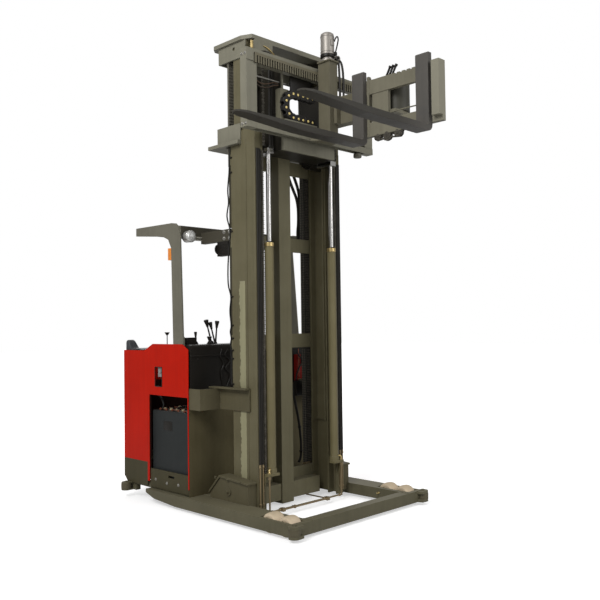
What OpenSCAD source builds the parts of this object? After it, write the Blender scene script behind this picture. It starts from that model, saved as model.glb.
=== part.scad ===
// Three-way stacker truck with a turret head, parked with its mast part raised.
// Origin: on the floor, on the centreline, under the front plane of the fixed mast.
// Front is -Y, the truck's left is +X, up is +Z. Millimetres.

/* [Base frame] */
// How far a leg stands out beyond the body's side
leg_over = 35; // [25:5:50]
// Width of one leg
leg_w = 190; // [160:5:200]
// Height of the legs' underside over the floor
leg_bottom = 25; // [15:1:35]
// Height of the legs' top over the floor
leg_top = 115; // [105:1:125]
// Front of the cross beam, ahead of the mast's front plane
beam_front = 646; // [630:1:700]
// Depth of the cross beam, front to back
beam_d = 90; // [60:1:95]
// Back end of the legs, behind the mast's front plane
leg_back = 1150; // [900:10:1200]
// Thickness of the deck plate
deck_t = 12; // [8:1:20]

/* [Load wheels] */
// Diameter of a load wheel
wheel_d = 150; // [140:1:155]
// Width of a load wheel's tread
wheel_w = 110; // [80:1:120]
// Distance between the two axles of a pair
wheel_pitch = 165; // [160:1:190]
// Front axle, ahead of the mast's front plane
wheel_front = 525; // [500:1:540]
// Diameter of a load wheel's axle
axle_d = 30; // [20:1:40]

/* [Guide rollers] */
// Diameter of a side guide roller
roller_d = 90; // [70:1:100]
// Height of a guide roller
roller_h = 44; // [30:1:50]
// How far the guide rollers stand out beyond the body's side
roller_over = 75; // [60:5:90]

/* [Drive and castor] */
// Diameter of the drive wheel
drive_d = 330; // [300:5:340]
// Width of the drive wheel
drive_w = 110; // [80:5:130]
// How far the drive wheel's centre stands in from the body's side
drive_in = 390; // [360:5:400]
// Drive wheel's centre, behind the mast's front plane
drive_y = 1320; // [1300:5:1325]
// Diameter of the castor wheel
castor_d = 160; // [140:5:170]
// How far the castor's centre stands in from the body's side
castor_in = 240; // [220:5:260]
// Castor's trail
castor_trail = 40; // [30:1:50]

/* [Body] */
// Half the width of the body
body_half = 720; // [700:5:740]
// Front wall of the body, behind the mast's front plane
body_front = 584; // [570:1:620]
// Back wall of the body, behind the mast's front plane
body_back = 1534; // [1520:1:1600]
// Height of the body's top
body_top = 1350; // [1300:5:1400]
// Height of the body's rear top, below its chamfer
body_rear_top = 1292; // [1260:1:1295]
// Height of the body's underside
body_low = 130; // [120:1:150]
// Height where the red panels end over the rear skirt
skirt_top = 335; // [320:1:360]
// Thickness of the body panels
skin = 6; // [4:1:10]

/* [Battery] */
// Length of the battery, along the truck
batt_l = 540; // [500:5:545]
// Height of the battery
batt_h = 645; // [500:5:660]
// How far the battery stands back from the body's side
batt_inset = 30; // [25:1:60]

/* [Overhead guard] */
// Height of the guard's top
guard_top = 2360; // [2200:10:2400]
// Thickness of the guard's side plates
guard_t = 14; // [10:1:20]
// Length of the roof, front to back
guard_l = 565; // [500:5:600]

/* [Fixed mast] */
// How far the mast's side stands in from the body's side
mast_in = 230; // [225:1:240]
// Width of a rail's flanges
rail_w = 80; // [70:1:84]
// Depth of a fixed rail
rail_d = 294; // [290:1:300]
// Plate thickness of a fixed rail
rail_t = 14; // [10:1:16]
// Height of the fixed rails' top
mast_top = 3060; // [3000:10:3060]
// Depth of the front bay of a fixed rail
bay_d = 94; // [80:1:95]

/* [Sliding mast] */
// How far the sliding rails stand above the fixed ones as the truck is shown
raised = 730; // [720:5:740]
// How much longer the sliding rails are than the height of the fixed ones
inner_over = 70; // [40:10:80]
// Gap between a sliding rail and the fixed rail around it
slide_gap = 6; // [5.5:0.1:6]
// Plate thickness of a sliding rail
inner_t = 12; // [10:1:14]

/* [Lift cylinders] */
// How far a cylinder's axis stands in from the mast's side
cyl_in = 125; // [122:1:130]
// How far a cylinder's axis stands ahead of the mast's front plane
cyl_y = 15; // [10:1:20]
// Diameter of a cylinder tube
tube_d = 72; // [60:1:76]
// Diameter of a lift rod
rod_d = 40; // [36:1:50]
// Height of a tube's lower end
tube_bottom = 340; // [330:5:400]
// Height of a tube's upper end
tube_top = 2120; // [2000:10:2140]

/* [Traverse frame] */
// How far the traverse frame stands out beyond the body's side
frame_over = 15; // [0:5:40]
// Front face of the traverse frame, ahead of the mast's front plane
frame_front = 190; // [185:1:200]
// Depth of the traverse frame's beams
frame_d = 75; // [60:1:80]
// Height of the traverse frame
frame_h = 600; // [590:1:610]
// How far the frame's top stays under the sliding rails' top
frame_below = 205; // [200:1:215]
// Width of an end post
post_w = 105; // [90:1:120]

/* [Turret] */
// Middle of the turret column, left of the centreline
column_x = 79; // [60:1:110]
// Width of the turret column
column_w = 94; // [80:1:110]
// Depth of the turret column
column_d = 125; // [110:1:140]
// Swing axis, ahead of the mast's front plane
swing_y = 870; // [860:1:900]
// Swing axis, left of the centreline
swing_x = 215; // [210:1:220]
// Diameter of the swing drive
swing_d = 142; // [120:1:150]

/* [Fork carriage and forks] */
// Distance from the swing axis to the back of the fork carriage bars
carr_back = 122; // [118:1:130]
// How far the fork carriage's middle stands ahead of the swing axis
carr_ahead = 66; // [40:1:80]
// Half the width of the fork carriage
carr_half = 380; // [360:5:400]
// How far the lower bar's underside hangs below the frame's underside
bar_below = 50; // [45:1:55]
// Height over both bars
carr_h = 440; // [425:1:450]
// Height of a carriage bar
bar_h = 110; // [90:1:120]
// Thickness of a carriage bar
bar_t = 35; // [30:1:40]
// Length of a fork blade
fork_l = 1300; // [1000:10:1320]
// Width of a fork
fork_w = 110; // [90:5:120]
// Thickness of a fork
fork_t = 45; // [35:1:50]
// Distance from the middle of the carriage to the middle of a fork
fork_half = 302; // [280:2:320]

/* [Hidden] */

olive = [0.40, 0.37, 0.30];
dark_olive = [0.30, 0.28, 0.22];
red = [0.75, 0.10, 0.05];
black = [0.10, 0.10, 0.11];
steel = [0.75, 0.75, 0.74];
slate = [0.20, 0.22, 0.25];
brass = [0.75, 0.62, 0.30];
cream = [0.72, 0.66, 0.52];

// Running clearances
pin_gap = 0.05;      // radial gap of a pin in its bore
seat_gap = 0.3;      // gap of flat faces on pieces that move on each other
move_gap = 6;        // gap round a piece that turns or slides

leg_out = body_half + leg_over;
roller_out = body_half + roller_over;
drive_x = body_half - drive_in;
castor_x = body_half - castor_in;
mast_half = body_half - mast_in;
cyl_x = mast_half - cyl_in;
inner_top = mast_top + raised;
inner_l = mast_top + inner_over;
frame_half = body_half + frame_over;
frame_top = inner_top - frame_below;
frame_low = frame_top - frame_h;
bar_low = frame_low - bar_below;
bar_top = bar_low + carr_h;

leg_in = leg_out - leg_w;
wheel_x = leg_out - leg_w / 2 + 10;
wheel_rear = wheel_front - wheel_pitch;
wheel_r = wheel_d / 2;
well_l0 = -wheel_front - wheel_r - move_gap;
well_l1 = -wheel_rear + wheel_r + move_gap;
well_w = wheel_w + 2 * move_gap;

roller_x = roller_out - roller_d / 2;
roller_front_y = -beam_front - 5;
roller_rear_y = body_back - 75;
roller_front_z = 70;
roller_rear_z = 95;
roller_pin_d = 24;
lug_t = 22;
arm_t = 12;

drive_r = drive_d / 2;
fork_plate_t = 16;
yoke_top = drive_d + 22;
drive_plate_t = 14;
yoke_axle_d = 44;
spindle_d = 90;

castor_r = castor_d / 2;
castor_top = castor_d + 16;
castor_y = body_back - 180;
castor_w = 50;
castor_axle_d = 20;
castor_stem_d = 40;

floor_z = castor_top + seat_gap;
in_half = body_half - skin;
partition_x = -30;
batt_w = in_half - batt_inset + partition_x - 14;

inner_out = mast_half - rail_t - slide_gap;
inner_w = inner_out - (mast_half - rail_w) + 10;
inner_in = inner_out - inner_w;
inner_y0 = bay_d + rail_t + slide_gap;
inner_y1 = rail_d - rail_t - slide_gap;
inner_bottom = inner_top - inner_l;

// Extrudes a (y, z) outline along X, from x = 0
module along_x(w) rotate([90, 0, 90]) linear_extrude(w) children();
// Both sides of the truck
module both() { children(); mirror([1, 0, 0]) children(); }
// A block between two corners
module block(a, b) translate(a) cube(b - a);
// A round bar along X, centred
module bar_x(d, l) rotate([0, 90, 0]) cylinder(h = l, d = d, center = true, $fn = 48);

// Base frame: two low legs, the front cross beam, the deck and the rear frame.
leg_nose = 36;
leg_tail = 60;
well_open_z = 60;
module leg_outline() polygon([
    [-beam_front, leg_bottom], [leg_back - 420, leg_bottom], [leg_back - 120, leg_bottom + 22],
    [leg_back, leg_bottom + leg_tail], [leg_back, leg_top], [-beam_front, leg_top]]);
module base_frame() color(olive) {
    difference() {
        union() {
            both() translate([leg_in, 0, 0]) along_x(leg_w) leg_outline();
            block([-leg_in, -beam_front, leg_bottom], [leg_in, -beam_front + beam_d, leg_top]);
        }
        both() block([wheel_x - well_w / 2, well_l0, leg_bottom - 1],
            [wheel_x + well_w / 2, well_l1, leg_top + 1]);
        both() translate([roller_x, roller_front_y, roller_front_z])
            cylinder(h = roller_h + 2 * seat_gap, d = roller_d + 2 * move_gap, center = true);
    }
    both() for (y = [-wheel_front, -wheel_rear])
        translate([wheel_x, y, wheel_r]) bar_x(axle_d, well_w + 20);
    both() roller_arms(roller_front_y, roller_front_z, -1, lug_t);
    both() roller_arms(roller_rear_y, roller_rear_z, 1, arm_t);
    deck();
    rear_frame();
}
// Two plates with a round nose that hold a guide roller on its pin at a corner
module roller_arms(y, z, dir, t) {
    for (z0 = [z - roller_h / 2 - t - seat_gap, z + roller_h / 2 + seat_gap])
        linear_extrude_at(z0, t) {
            translate([roller_x, y]) circle(d = roller_d - 4);
            polygon([[leg_out - 75, y], [roller_x + roller_d / 2 - 2, y],
                [roller_x + roller_d / 2 - 2, y - dir * 8], [leg_out - 2, y - dir * 40],
                    [leg_out - 75, y - dir * 40]]);
            polygon([[leg_out - 75, y], [leg_out - 60, y + dir * (roller_d / 2 - 6)],
                [roller_x, y + dir * (roller_d / 2 - 2)],
                [roller_x, y]]);
        }
    translate([roller_x, y, z - roller_h / 2 - 2]) cylinder(h = roller_h + 4, d = roller_pin_d);
    translate([roller_x, y, z + roller_h / 2 + t]) cylinder(h = 9, d = 30, $fn = 6);
}
// Deck between the legs, from the mast to the body
module deck() difference() {
    block([-leg_in, rail_d + 2, leg_top - deck_t], [leg_in, body_front + 20, leg_top]);
    both() block([300, rail_d + 60, leg_top - deck_t - 1], [430, rail_d + 170, leg_top + 1]);
}
// Side members, rear plate, operator's floor and the plate over the drive unit
frame_t = 12;
module rear_frame() {
    both() block([in_half - 14 - frame_t, body_front + 12, leg_top], [in_half - 14, body_back - 20, floor_z]);
    block([-in_half + 14, body_back - 20 - frame_t, leg_top], [in_half - 14, body_back - 20, floor_z]);
    block([partition_x, body_front + 12, leg_top],
        [partition_x + frame_t, body_back - 20, yoke_top + fork_plate_t]);
    difference() {
        block([partition_x, body_front + 12, floor_z], [in_half - 14, body_back - 20, floor_z + frame_t]);
        translate([castor_x, castor_y, floor_z - 1]) cylinder(h = frame_t + 2, d = castor_stem_d + 2 * pin_gap);
    }
    both() block([leg_out - 100, roller_rear_y - 80, roller_rear_z - roller_h / 2 - arm_t - seat_gap],
        [in_half - 14, body_back - 20, leg_top + frame_t]);
    block([-in_half + 14, body_front + 12, leg_top], [partition_x, drive_y - 190, leg_top + deck_t]);
    difference() {
        block([-in_half + 14, drive_y - 150, yoke_top],
            [partition_x, body_back - 20, yoke_top + drive_plate_t]);
        translate([-drive_x, drive_y, yoke_top - 1])
            cylinder(h = drive_plate_t + 2, d = spindle_d + 2 * pin_gap);
    }
}
$fn = 64;

// One load wheel: a tread with rounded shoulders on its hub
module roller_wheel(d, w, bore, edge) rotate([0, 90, 0]) rotate_extrude() polygon([
    [bore / 2 + pin_gap, -w / 2], [d / 2 - edge, -w / 2], [d / 2 - edge * 0.3, -w / 2 + edge * 0.3],
    [d / 2, -w / 2 + edge], [d / 2, w / 2 - edge], [d / 2 - edge * 0.3, w / 2 - edge * 0.3],
    [d / 2 - edge, w / 2], [bore / 2 + pin_gap, w / 2]]);
module load_wheel(side, y) color(cream) translate([side * wheel_x, y, wheel_r])
    roller_wheel(wheel_d, wheel_w, axle_d, 8);
module load_wheel_fr() load_wheel(-1, -wheel_front);
module load_wheel_rr() load_wheel(-1, -wheel_rear);
module load_wheel_fl() load_wheel(1, -wheel_front);
module load_wheel_rl() load_wheel(1, -wheel_rear);

module guide_roller(side, y, z) color(cream) translate([side * roller_x, y, z])
    difference() {
        cylinder(h = roller_h, d = roller_d, center = true);
        cylinder(h = roller_h + 2, d = roller_pin_d + 2 * pin_gap, center = true);
    }
module guide_roller_fr() guide_roller(-1, roller_front_y, roller_front_z);
module guide_roller_fl() guide_roller(1, roller_front_y, roller_front_z);
module guide_roller_rr() guide_roller(-1, roller_rear_y, roller_rear_z);
module guide_roller_rl() guide_roller(1, roller_rear_y, roller_rear_z);

// Drive unit: a fork over the wheel, its spindle and the motor above the plate
module drive_unit() color(dark_olive) translate([-drive_x, drive_y, 0]) {
    cheek = drive_w / 2 + move_gap;
    both() block([cheek, -55, drive_r - 45], [cheek + fork_plate_t, 55, yoke_top - 12]);
    translate([0, 0, drive_r]) bar_x(yoke_axle_d, 2 * cheek + 2 * fork_plate_t);
    translate([0, 0, drive_d + 8]) cylinder(h = yoke_top - drive_d - 8 - seat_gap,
        d = 2 * (cheek + fork_plate_t));
    translate([0, 0, yoke_top - 1]) cylinder(h = drive_plate_t + 4, d = spindle_d);
    translate([0, 0, yoke_top + drive_plate_t + seat_gap]) cylinder(h = 250, d = 210);
}
module drive_wheel() color(black) translate([-drive_x, drive_y, drive_r])
    roller_wheel(drive_d, drive_w, yoke_axle_d, 10);

module castor_fork() color(dark_olive) translate([castor_x, castor_y, 0]) {
    cheek = castor_w / 2 + move_gap;
    both() hull() {
        translate([cheek, castor_trail, castor_r]) rotate([0, 90, 0]) cylinder(h = 8, d = 36, $fn = 32);
        block([cheek, -30, castor_top - 8], [cheek + 8, 30, castor_top]);
    }
    translate([0, castor_trail, castor_r]) bar_x(castor_axle_d, 2 * cheek + 16);
    translate([0, 0, castor_top - 8]) cylinder(h = 8, d = 2 * cheek + 20);
    translate([0, 0, castor_top - 1]) cylinder(h = frame_t + 1, d = castor_stem_d);
}
module castor_wheel() color(cream) translate([castor_x, castor_y + castor_trail, castor_r])
    roller_wheel(castor_d, castor_w, castor_axle_d, 6);

// Red body panels: closed right side with its battery opening, rear wall, open left side
batt_y0 = body_front + 12;
batt_y1 = batt_y0 + batt_l + 4;
open_top = 915;
entry_y0 = body_front + 310;
entry_y1 = body_back - 180;
wall_top = 970;
hood_z = body_top - 5;
top_slope_y = body_back - 324;
top_flat_y = body_back - 449;
module side_outline() polygon([
    [body_front, body_low + 45], [body_front, body_top - 45], [body_front + 80, body_top],
        [top_flat_y, body_top],
    [top_slope_y, body_rear_top], [body_back, body_rear_top], [body_back, skirt_top],
    [batt_y1 + 30, skirt_top], [batt_y1 + 30, body_low + 45]]);
module body_panels() color(red) {
    difference() {
        translate([-body_half, 0, 0]) along_x(skin) side_outline();
        block([-body_half - 1, batt_y0, body_low], [-in_half + 1, batt_y1, open_top]);
        block([-body_half - 1, 950, 990], [-in_half + 1, 1050, 1153]);
    }
    translate([in_half, 0, 0]) difference() {
        along_x(skin) side_outline();
        block([-1, entry_y0, body_low], [skin + 1, entry_y1, body_top + 1]);
    }
    block([-in_half, body_back - skin, skirt_top], [in_half, body_back, body_rear_top]);
    translate([-in_half, batt_y1, floor_z + frame_t])
        cube([batt_inset - 14, skin, open_top - floor_z - frame_t]);
}
module skirt() color(dark_olive) {
    both() along_x_at(in_half, skin) polygon([
        [batt_y1 + 30, body_low], [body_back - 50, body_low], [body_back, body_low + 50],
        [body_back, skirt_top], [batt_y1 + 30, skirt_top]]);
    block([-in_half, body_back - skin, body_low + 50], [in_half, body_back, skirt_top]);
}
module along_x_at(x, w) translate([x, 0, 0]) along_x(w) children();
module front_wall() color(dark_olive)
    block([-in_half, body_front, leg_top], [in_half, body_front + skin, wall_top]);

// Console: the black hood over the front of the compartment, with a rolled top edge
hood_d = 190;
hood_half = in_half - guard_t - 1;
hood_r = 24;
module hood_outline(t, low) polygon(concat(
    [[body_front + hood_d - t, hood_z - 55 + t / 2], [body_front + 60 - t, low], [body_front + t, low]],
    [for (a = [180 : -15 : 90]) [body_front + hood_r + (hood_r - t)
        * cos(a), hood_z - hood_r + (hood_r - t) * sin(a)]],
    [for (a = [90 : -15 : 0]) [body_front + hood_d - hood_r + (hood_r - t)
        * cos(a), hood_z - hood_r + (hood_r - t) * sin(a)]]));
module console() color(black) difference() {
    along_x_at(-hood_half, 2 * hood_half) hood_outline(0, wall_top);
    along_x_at(-hood_half + 8, 2 * hood_half - 16) hood_outline(8, wall_top - 1);
}
// Columns: distance in from the hood's right end, y behind the body's front, height, knob diameter,
// lean to the right
lever_rows = [[150, 116, 100, 24, 4], [318, 116, 200, 34, 60], [354, 116, 180, 30, 52],
    [370, 130, 190, 32, -20], [249, 60, 60, 26, 0]];
module levers() color(black) {
    for (row = lever_rows) translate([row[0] - hood_half, body_front + row[1], hood_z]) multmatrix([
        [1, 0, -row[4] / row[2], 0], [0, 1, 0, 0], [0, 0, 1, 0]]) {
        cylinder(h = row[2], d = 9, $fn = 24);
        translate([0, 0, row[2] - 26]) cylinder(h = 26, d1 = row[3] * 0.5, d2 = row[3], $fn = 24);
    }
    block([41 - hood_half, body_front + 96, hood_z], [143 - hood_half, body_front + 130, hood_z + 58]);
}
cover_y1 = batt_y1 + 20;
module cover() color(black) {
    block([-hood_half, body_front + hood_d, body_top - 60], [partition_x + 20, cover_y1, body_top - 42]);
    block([partition_x + 2, body_front + hood_d, yoke_top + fork_plate_t],
        [partition_x + 20, cover_y1, body_top - 60]);
    translate([-hood_half + 50, cover_y1 - 190, body_top - 42]) {
        cylinder(h = 140, d = 8, $fn = 24);
        translate([0, 0, 115]) cylinder(h = 25, d1 = 16, d2 = 46, $fn = 32);
    }
}

module battery() color(slate) block([-in_half + batt_inset, batt_y0 + 2, leg_top + deck_t],
    [-in_half + batt_inset + batt_w, batt_y0 + 2 + batt_l, leg_top + deck_t + batt_h]);
// Retainer plate with a slot for the lifting bar
retainer_top = 285;
slot_y = 200;
slot_l = 85;
module battery_retainer() color(dark_olive) difference() {
    block([-in_half + 2, batt_y0 + 4, leg_top + deck_t], [-in_half + 14, batt_y1 - 4, retainer_top]);
    block([-in_half + 1, batt_y0 + slot_y, retainer_top - 52],
        [-in_half + 15, batt_y0 + slot_y + slot_l, retainer_top - 32]);
}
module back_pad() color(black) hull() {
    for (x = [-in_half + 20, in_half - 20]) {
        translate([x, body_back - 60, body_rear_top + 60]) rotate([0, 90, 0])
            cylinder(h = 20, d = 60, center = true, $fn = 32);
        block([x - 10, body_back - 110, body_rear_top], [x + 10, body_back - 2, body_rear_top + 20]);
    }
}
module foot_mat() color(black)
    block([0, body_front + 60, floor_z + frame_t], [in_half - 40, body_back - 60, floor_z + frame_t + 10]);

// Overhead guard: a plate post on each side that turns into the roof's side, header and bars
guard_y0 = body_front + 66;
post_l = 135;
guard_lean = 20;
post_top = guard_top - 208;
roof_y = guard_y0 + 60;
module guard_post() polygon([
    [guard_y0, body_top], [guard_y0 + 30, guard_top - 120], [guard_y0 + 54, guard_top - 42],
    [guard_y0 + 90, guard_top - 8], [guard_y0 + 144, guard_top], [roof_y + guard_l + 50, guard_top + 5],
    [roof_y + guard_l + 50, guard_top - 64], [guard_y0 + post_l + 140, guard_top - 102],
    [guard_y0 + post_l + 60, guard_top - 135], [guard_y0 + post_l + guard_lean, post_top],
    [guard_y0 + post_l, body_top]]);
module guard_edge() polygon([
    [guard_y0 + 30, guard_top - 120], [guard_y0 + 54, guard_top - 42], [guard_y0 + 90, guard_top - 8],
    [guard_y0 + 144, guard_top], [roof_y + guard_l + 50, guard_top + 5],
    [roof_y + guard_l + 50, guard_top - 64], [guard_y0 + post_l + 60, guard_top - 120]]);
left_y0 = guard_y0 + 90;
left_lean = 76;
module left_post() polygon([
    [left_y0, body_top], [left_y0 + left_lean, guard_top - 110], [left_y0 + 100, guard_top - 80],
    [left_y0 + post_l + 120, guard_top - 80], [left_y0 + post_l + 60, guard_top - 125],
        [left_y0 + post_l, body_top]]);
module overhead_guard() color(olive) {
    along_x_at(-body_half, guard_t) guard_post();
    block([-in_half, guard_y0, body_top - 200], [-in_half + guard_t, guard_y0 + post_l, body_top + 60]);
    along_x_at(body_half - guard_t, guard_t) { guard_edge(); left_post(); }
    block([in_half - guard_t, left_y0, body_top - 200], [in_half, left_y0 + post_l, body_top + 60]);
    inside = body_half - guard_t;
    block([-inside, guard_y0 + 40, guard_top - 110], [inside, guard_y0 + 90, guard_top - 30]);
    block([-inside, roof_y + guard_l + 10, guard_top - 50], [inside, roof_y + guard_l + 50, guard_top - 5]);
    for (i = [1 : 5])
        block([-inside, roof_y + i * guard_l / 6, guard_top - 50],
            [inside, roof_y + i * guard_l / 6 + 16, guard_top - 12]);
    both() block([mast_half - 50, rail_d + tie_t, guard_top - 170],
        [mast_half - 4, guard_y0 + 50, guard_top - 75]);
}
// Two lamps: a round one under the roof's front corner and a box lamp beside the mast
module work_lamps() color(steel) {
    translate([-body_half + guard_t + 60, guard_y0 + 40, guard_top - 120])
        rotate([90, 0, 0]) cylinder(h = 60, d = 96);
    block([-mast_half + 4, rail_d + 50, guard_top - 290], [-mast_half + 50, rail_d + 190, guard_top - 170]);
}
module marker_lamp() color("orange") {
    y0 = guard_y0 + post_l + guard_lean;
    block([-body_half + 2, y0, post_top - 100], [-body_half + 34, y0 + 46, post_top]);
    block([-body_half + guard_t, y0 - 12, post_top - 40], [-body_half + guard_t + 6, y0 + 1, post_top - 10]);
}

// Fixed mast: two rails of E section, open inward
module fixed_rail() linear_extrude(mast_top - deck_t - 30) difference() {
    translate([mast_half - rail_w, 0]) square([rail_w, rail_d]);
    translate([mast_half - rail_w - 1, rail_t]) square([rail_w - rail_t + 1, bay_d - rail_t]);
    translate([mast_half - rail_w - 1, bay_d + rail_t])
        square([rail_w - rail_t + 1, rail_d - bay_d - 2 * rail_t]);
}
module fixed_rails() color(olive) translate([0, 0, deck_t + 30]) both() fixed_rail();

// Collar behind the fixed rails, with a flange under it
collar_y0 = 164;
collar_y1 = rail_d + 153;
collar_z0 = mast_top - 78;
collar_h = 135;
collar_t = 12;
flange_back = 90;
module collar(half, y0, y1, z0, z1) difference() {
    block([-half - collar_t, y0, z0], [half + collar_t, y1, z1]);
    block([-half, y0 - 1, z0 - 1], [half, y1 - collar_t, z1 + 1]);
}
module fixed_crosshead() color(olive) {
    collar(mast_half, collar_y0, collar_y1, collar_z0, collar_z0 + collar_h);
    difference() {
        block([-mast_half - 40, collar_y0, collar_z0 - 30],
            [mast_half + 40, collar_y1 + flange_back, collar_z0]);
        block([-mast_half, collar_y0 - 1, collar_z0 - 31], [mast_half, collar_y1 - 80, collar_z0 + 1]);
    }
}
// Columns: underside and top of each tie behind the rails
tie_t = 14;
tie_rows = [[leg_top, 270], [1300, 1420], [2130, 2250], [mast_top - 260, mast_top - 140]];
column_half = 67;
column_t = 8;
column_y0 = 179;
column_low = 16;
module centre_column() color(olive) {
    difference() {
        block([-column_half, column_y0, column_low], [column_half, rail_d, mast_top - 140]);
        block([-column_half + column_t, column_y0 + column_t, column_low - 1],
            [column_half - column_t, rail_d + 1, mast_top - 139]);
    }
    both() block([column_half - column_t, column_y0 + 11, 44], [inner_in - 8, rail_d + 1, 180]);
    for (row = tie_rows) block([-mast_half, rail_d, row[0]], [mast_half, rail_d + tie_t, row[1]]);
}
// Stays from the body to the mast, and the feet beside the rails
stay_z = 820;
stay_h = 170;
stay_t = 14;
stay_y = 440;
plate_y = 82;
module mast_stays() color(olive) both() {
    linear_extrude_at(stay_z, stay_h) polygon([
        [body_half - 8, body_front], [body_half - 8, stay_y], [mast_half + stay_t, stay_y],
        [mast_half + stay_t, plate_y], [mast_half, plate_y], [mast_half, stay_y + stay_t],
        [body_half - 8 - stay_t, stay_y + stay_t], [body_half - 8 - stay_t, body_front]]);
    block([mast_half, plate_y, stay_z + stay_h], [mast_half + 60, stay_y + stay_t + 80, stay_z + stay_h + 12]);
    along_x_at(mast_half, leg_in + 20 - mast_half) polygon([
        [20, leg_top], [20, 282], [355, 308], [478, 176], [478, leg_top]]);
    along_x_at(mast_half, leg_in + 32 - mast_half) polygon([
        [12, 268], [12, 282], [355, 308], [492, 164], [480, 156], [350, 292]]);
    translate([leg_in + 19, 250, 190]) rotate([0, 90, 0]) cylinder(h = 9, d = 64);
    block([mast_half, 20, 58], [leg_in - 4, rail_d, leg_top]);
}
module linear_extrude_at(z, h) translate([0, 0, z]) linear_extrude(h) children();

module lift_tubes() color(olive) both() {
    translate([cyl_x, -cyl_y, tube_bottom]) difference() {
        cylinder(h = tube_top - tube_bottom, d = tube_d);
        translate([0, 0, 60]) cylinder(h = tube_top, d = rod_d + 2 * pin_gap);
    }
    translate([cyl_x, -cyl_y, tube_bottom]) difference() {
        cylinder(h = 34, d = tube_d + 12);
        translate([0, 0, -1]) cylinder(h = 36, d = tube_d - 2);
    }
    block([cyl_x - 45, -cyl_y - 45, tube_bottom - 20], [mast_half - 53, 0, tube_bottom]);
    along_x_at(mast_half - 64, 11) polygon([[0, tube_bottom - 140], [0, tube_bottom - 19],
        [-30, tube_bottom - 19]]);
}
module glands() color(brass) both() translate([cyl_x, -cyl_y, tube_top]) difference() {
    cylinder(h = 30, d = tube_d + 6);
    translate([0, 0, -1]) cylinder(h = 32, d = rod_d + 2 * pin_gap);
}
// Hydraulic pipes: a riser under each cylinder, the pair of cross pipes, the branch to the
// rear, and the pipes and unions under the hoses. Columns: distance in from the mast's side
pipe_x = mast_half - 73;
pipe_y = -45;
pipe_z = 46;
hose_ins = [11, 27, 43];
hose_low = 415;
union_ins = [40, 62, 84, 106];
module pipes() color(brass) {
    both() translate([pipe_x, pipe_y, pipe_z])
        cylinder(h = tube_bottom - 20 - seat_gap - pipe_z, d = 14, $fn = 24);
    both() translate([pipe_x, pipe_y, tube_bottom - 46]) cylinder(h = 26 - seat_gap, d = 24, $fn = 6);
    translate([0, pipe_y, pipe_z]) bar_x(14, 2 * pipe_x + 14);
    translate([-32, pipe_y - 18, pipe_z]) bar_x(12, pipe_x + 96);
    for (x = [-pipe_x / 2 - 80, pipe_x / 2 + 16])
        block([x - 15, pipe_y - 30, pipe_z - 13], [x + 15, pipe_y + 12, pipe_z + 13]);
    block([-pipe_x / 2 + 40, pipe_y - 28, pipe_z - 9], [-pipe_x / 2 + 52, pipe_y + 10, pipe_z + 9]);
    translate([pipe_x / 2 + 16, pipe_y, pipe_z]) rotate([-90, 0, 0])
        cylinder(h = column_y0 + 11 - seat_gap - pipe_y, d = 12, $fn = 24);
    both() for (x = [hose_ins[0], hose_ins[2]]) translate([mast_half - x, -6.3, 76])
        cylinder(h = hose_low - 76, d = 12, $fn = 24);
    both() for (x = union_ins) translate([mast_half - x - 42, rail_d + tie_t + 18, leg_top + seat_gap]) {
        cylinder(h = 175 - 2 * seat_gap, d = 13, $fn = 24);
        translate([0, 0, 62]) cylinder(h = 24, d = 20, $fn = 6);
        translate([0, 0, 148]) cylinder(h = 22, d = 20, $fn = 6);
    }
    both() block([mast_half - 165, rail_d + tie_t + seat_gap, leg_top + seat_gap],
        [mast_half - 60, rail_d + 50, leg_top + 42]);
}
// Hoses down the front of each rail, and the hose band that hangs behind the ties
link_pitch = 25.4;
band_y = rail_d + tie_t + seat_gap;
band_low = leg_top + 175;
function band_side(z0, n, y, depth) =
    [for (i = [0 : 2 * n]) [y + (i % 2 == 0 ? 0 : depth), z0 + i * link_pitch / 2]];
module hose_band(x, w, y, z0, n) along_x_at(x, w) polygon(concat(band_side(z0, n, y, 4),
    [[y + 21, z0 + n * link_pitch], [y + 21, z0]]));
module mast_cable() color(black) both() {
    for (x = hose_ins) translate([mast_half - x, -7.3, hose_low + 0.3])
        cylinder(h = mast_top - 170 - hose_low, d = 14, $fn = 24);
    hose_band(mast_half - 115, 57, band_y, band_low, 104);
    for (x = [128, 152]) translate([mast_half - x, band_y + 10.5, band_low])
        cylinder(h = 104 * link_pitch, d = 21, $fn = 24);
}
// Leaf chains down the front of the mast, each with the waved edge of its plates
chain_x0 = mast_half - 82;
chain_w = 28;
chain_n = 100;
function chain_side(x, s) = [for (i = [0 : 2 * chain_n]) [x - s * (i % 2 == 0 ? 3 : 0), i * link_pitch / 2]];
function back(list) = [for (i = [len(list) - 1 : -1 : 0]) list[i]];
module front_chains() color(black) both() translate([0, -0.3, tube_bottom + 0.3]) rotate([90, 0, 0])
    linear_extrude(12.7) polygon(concat(chain_side(chain_x0 + chain_w, 1), back(chain_side(chain_x0, -1))));

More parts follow.
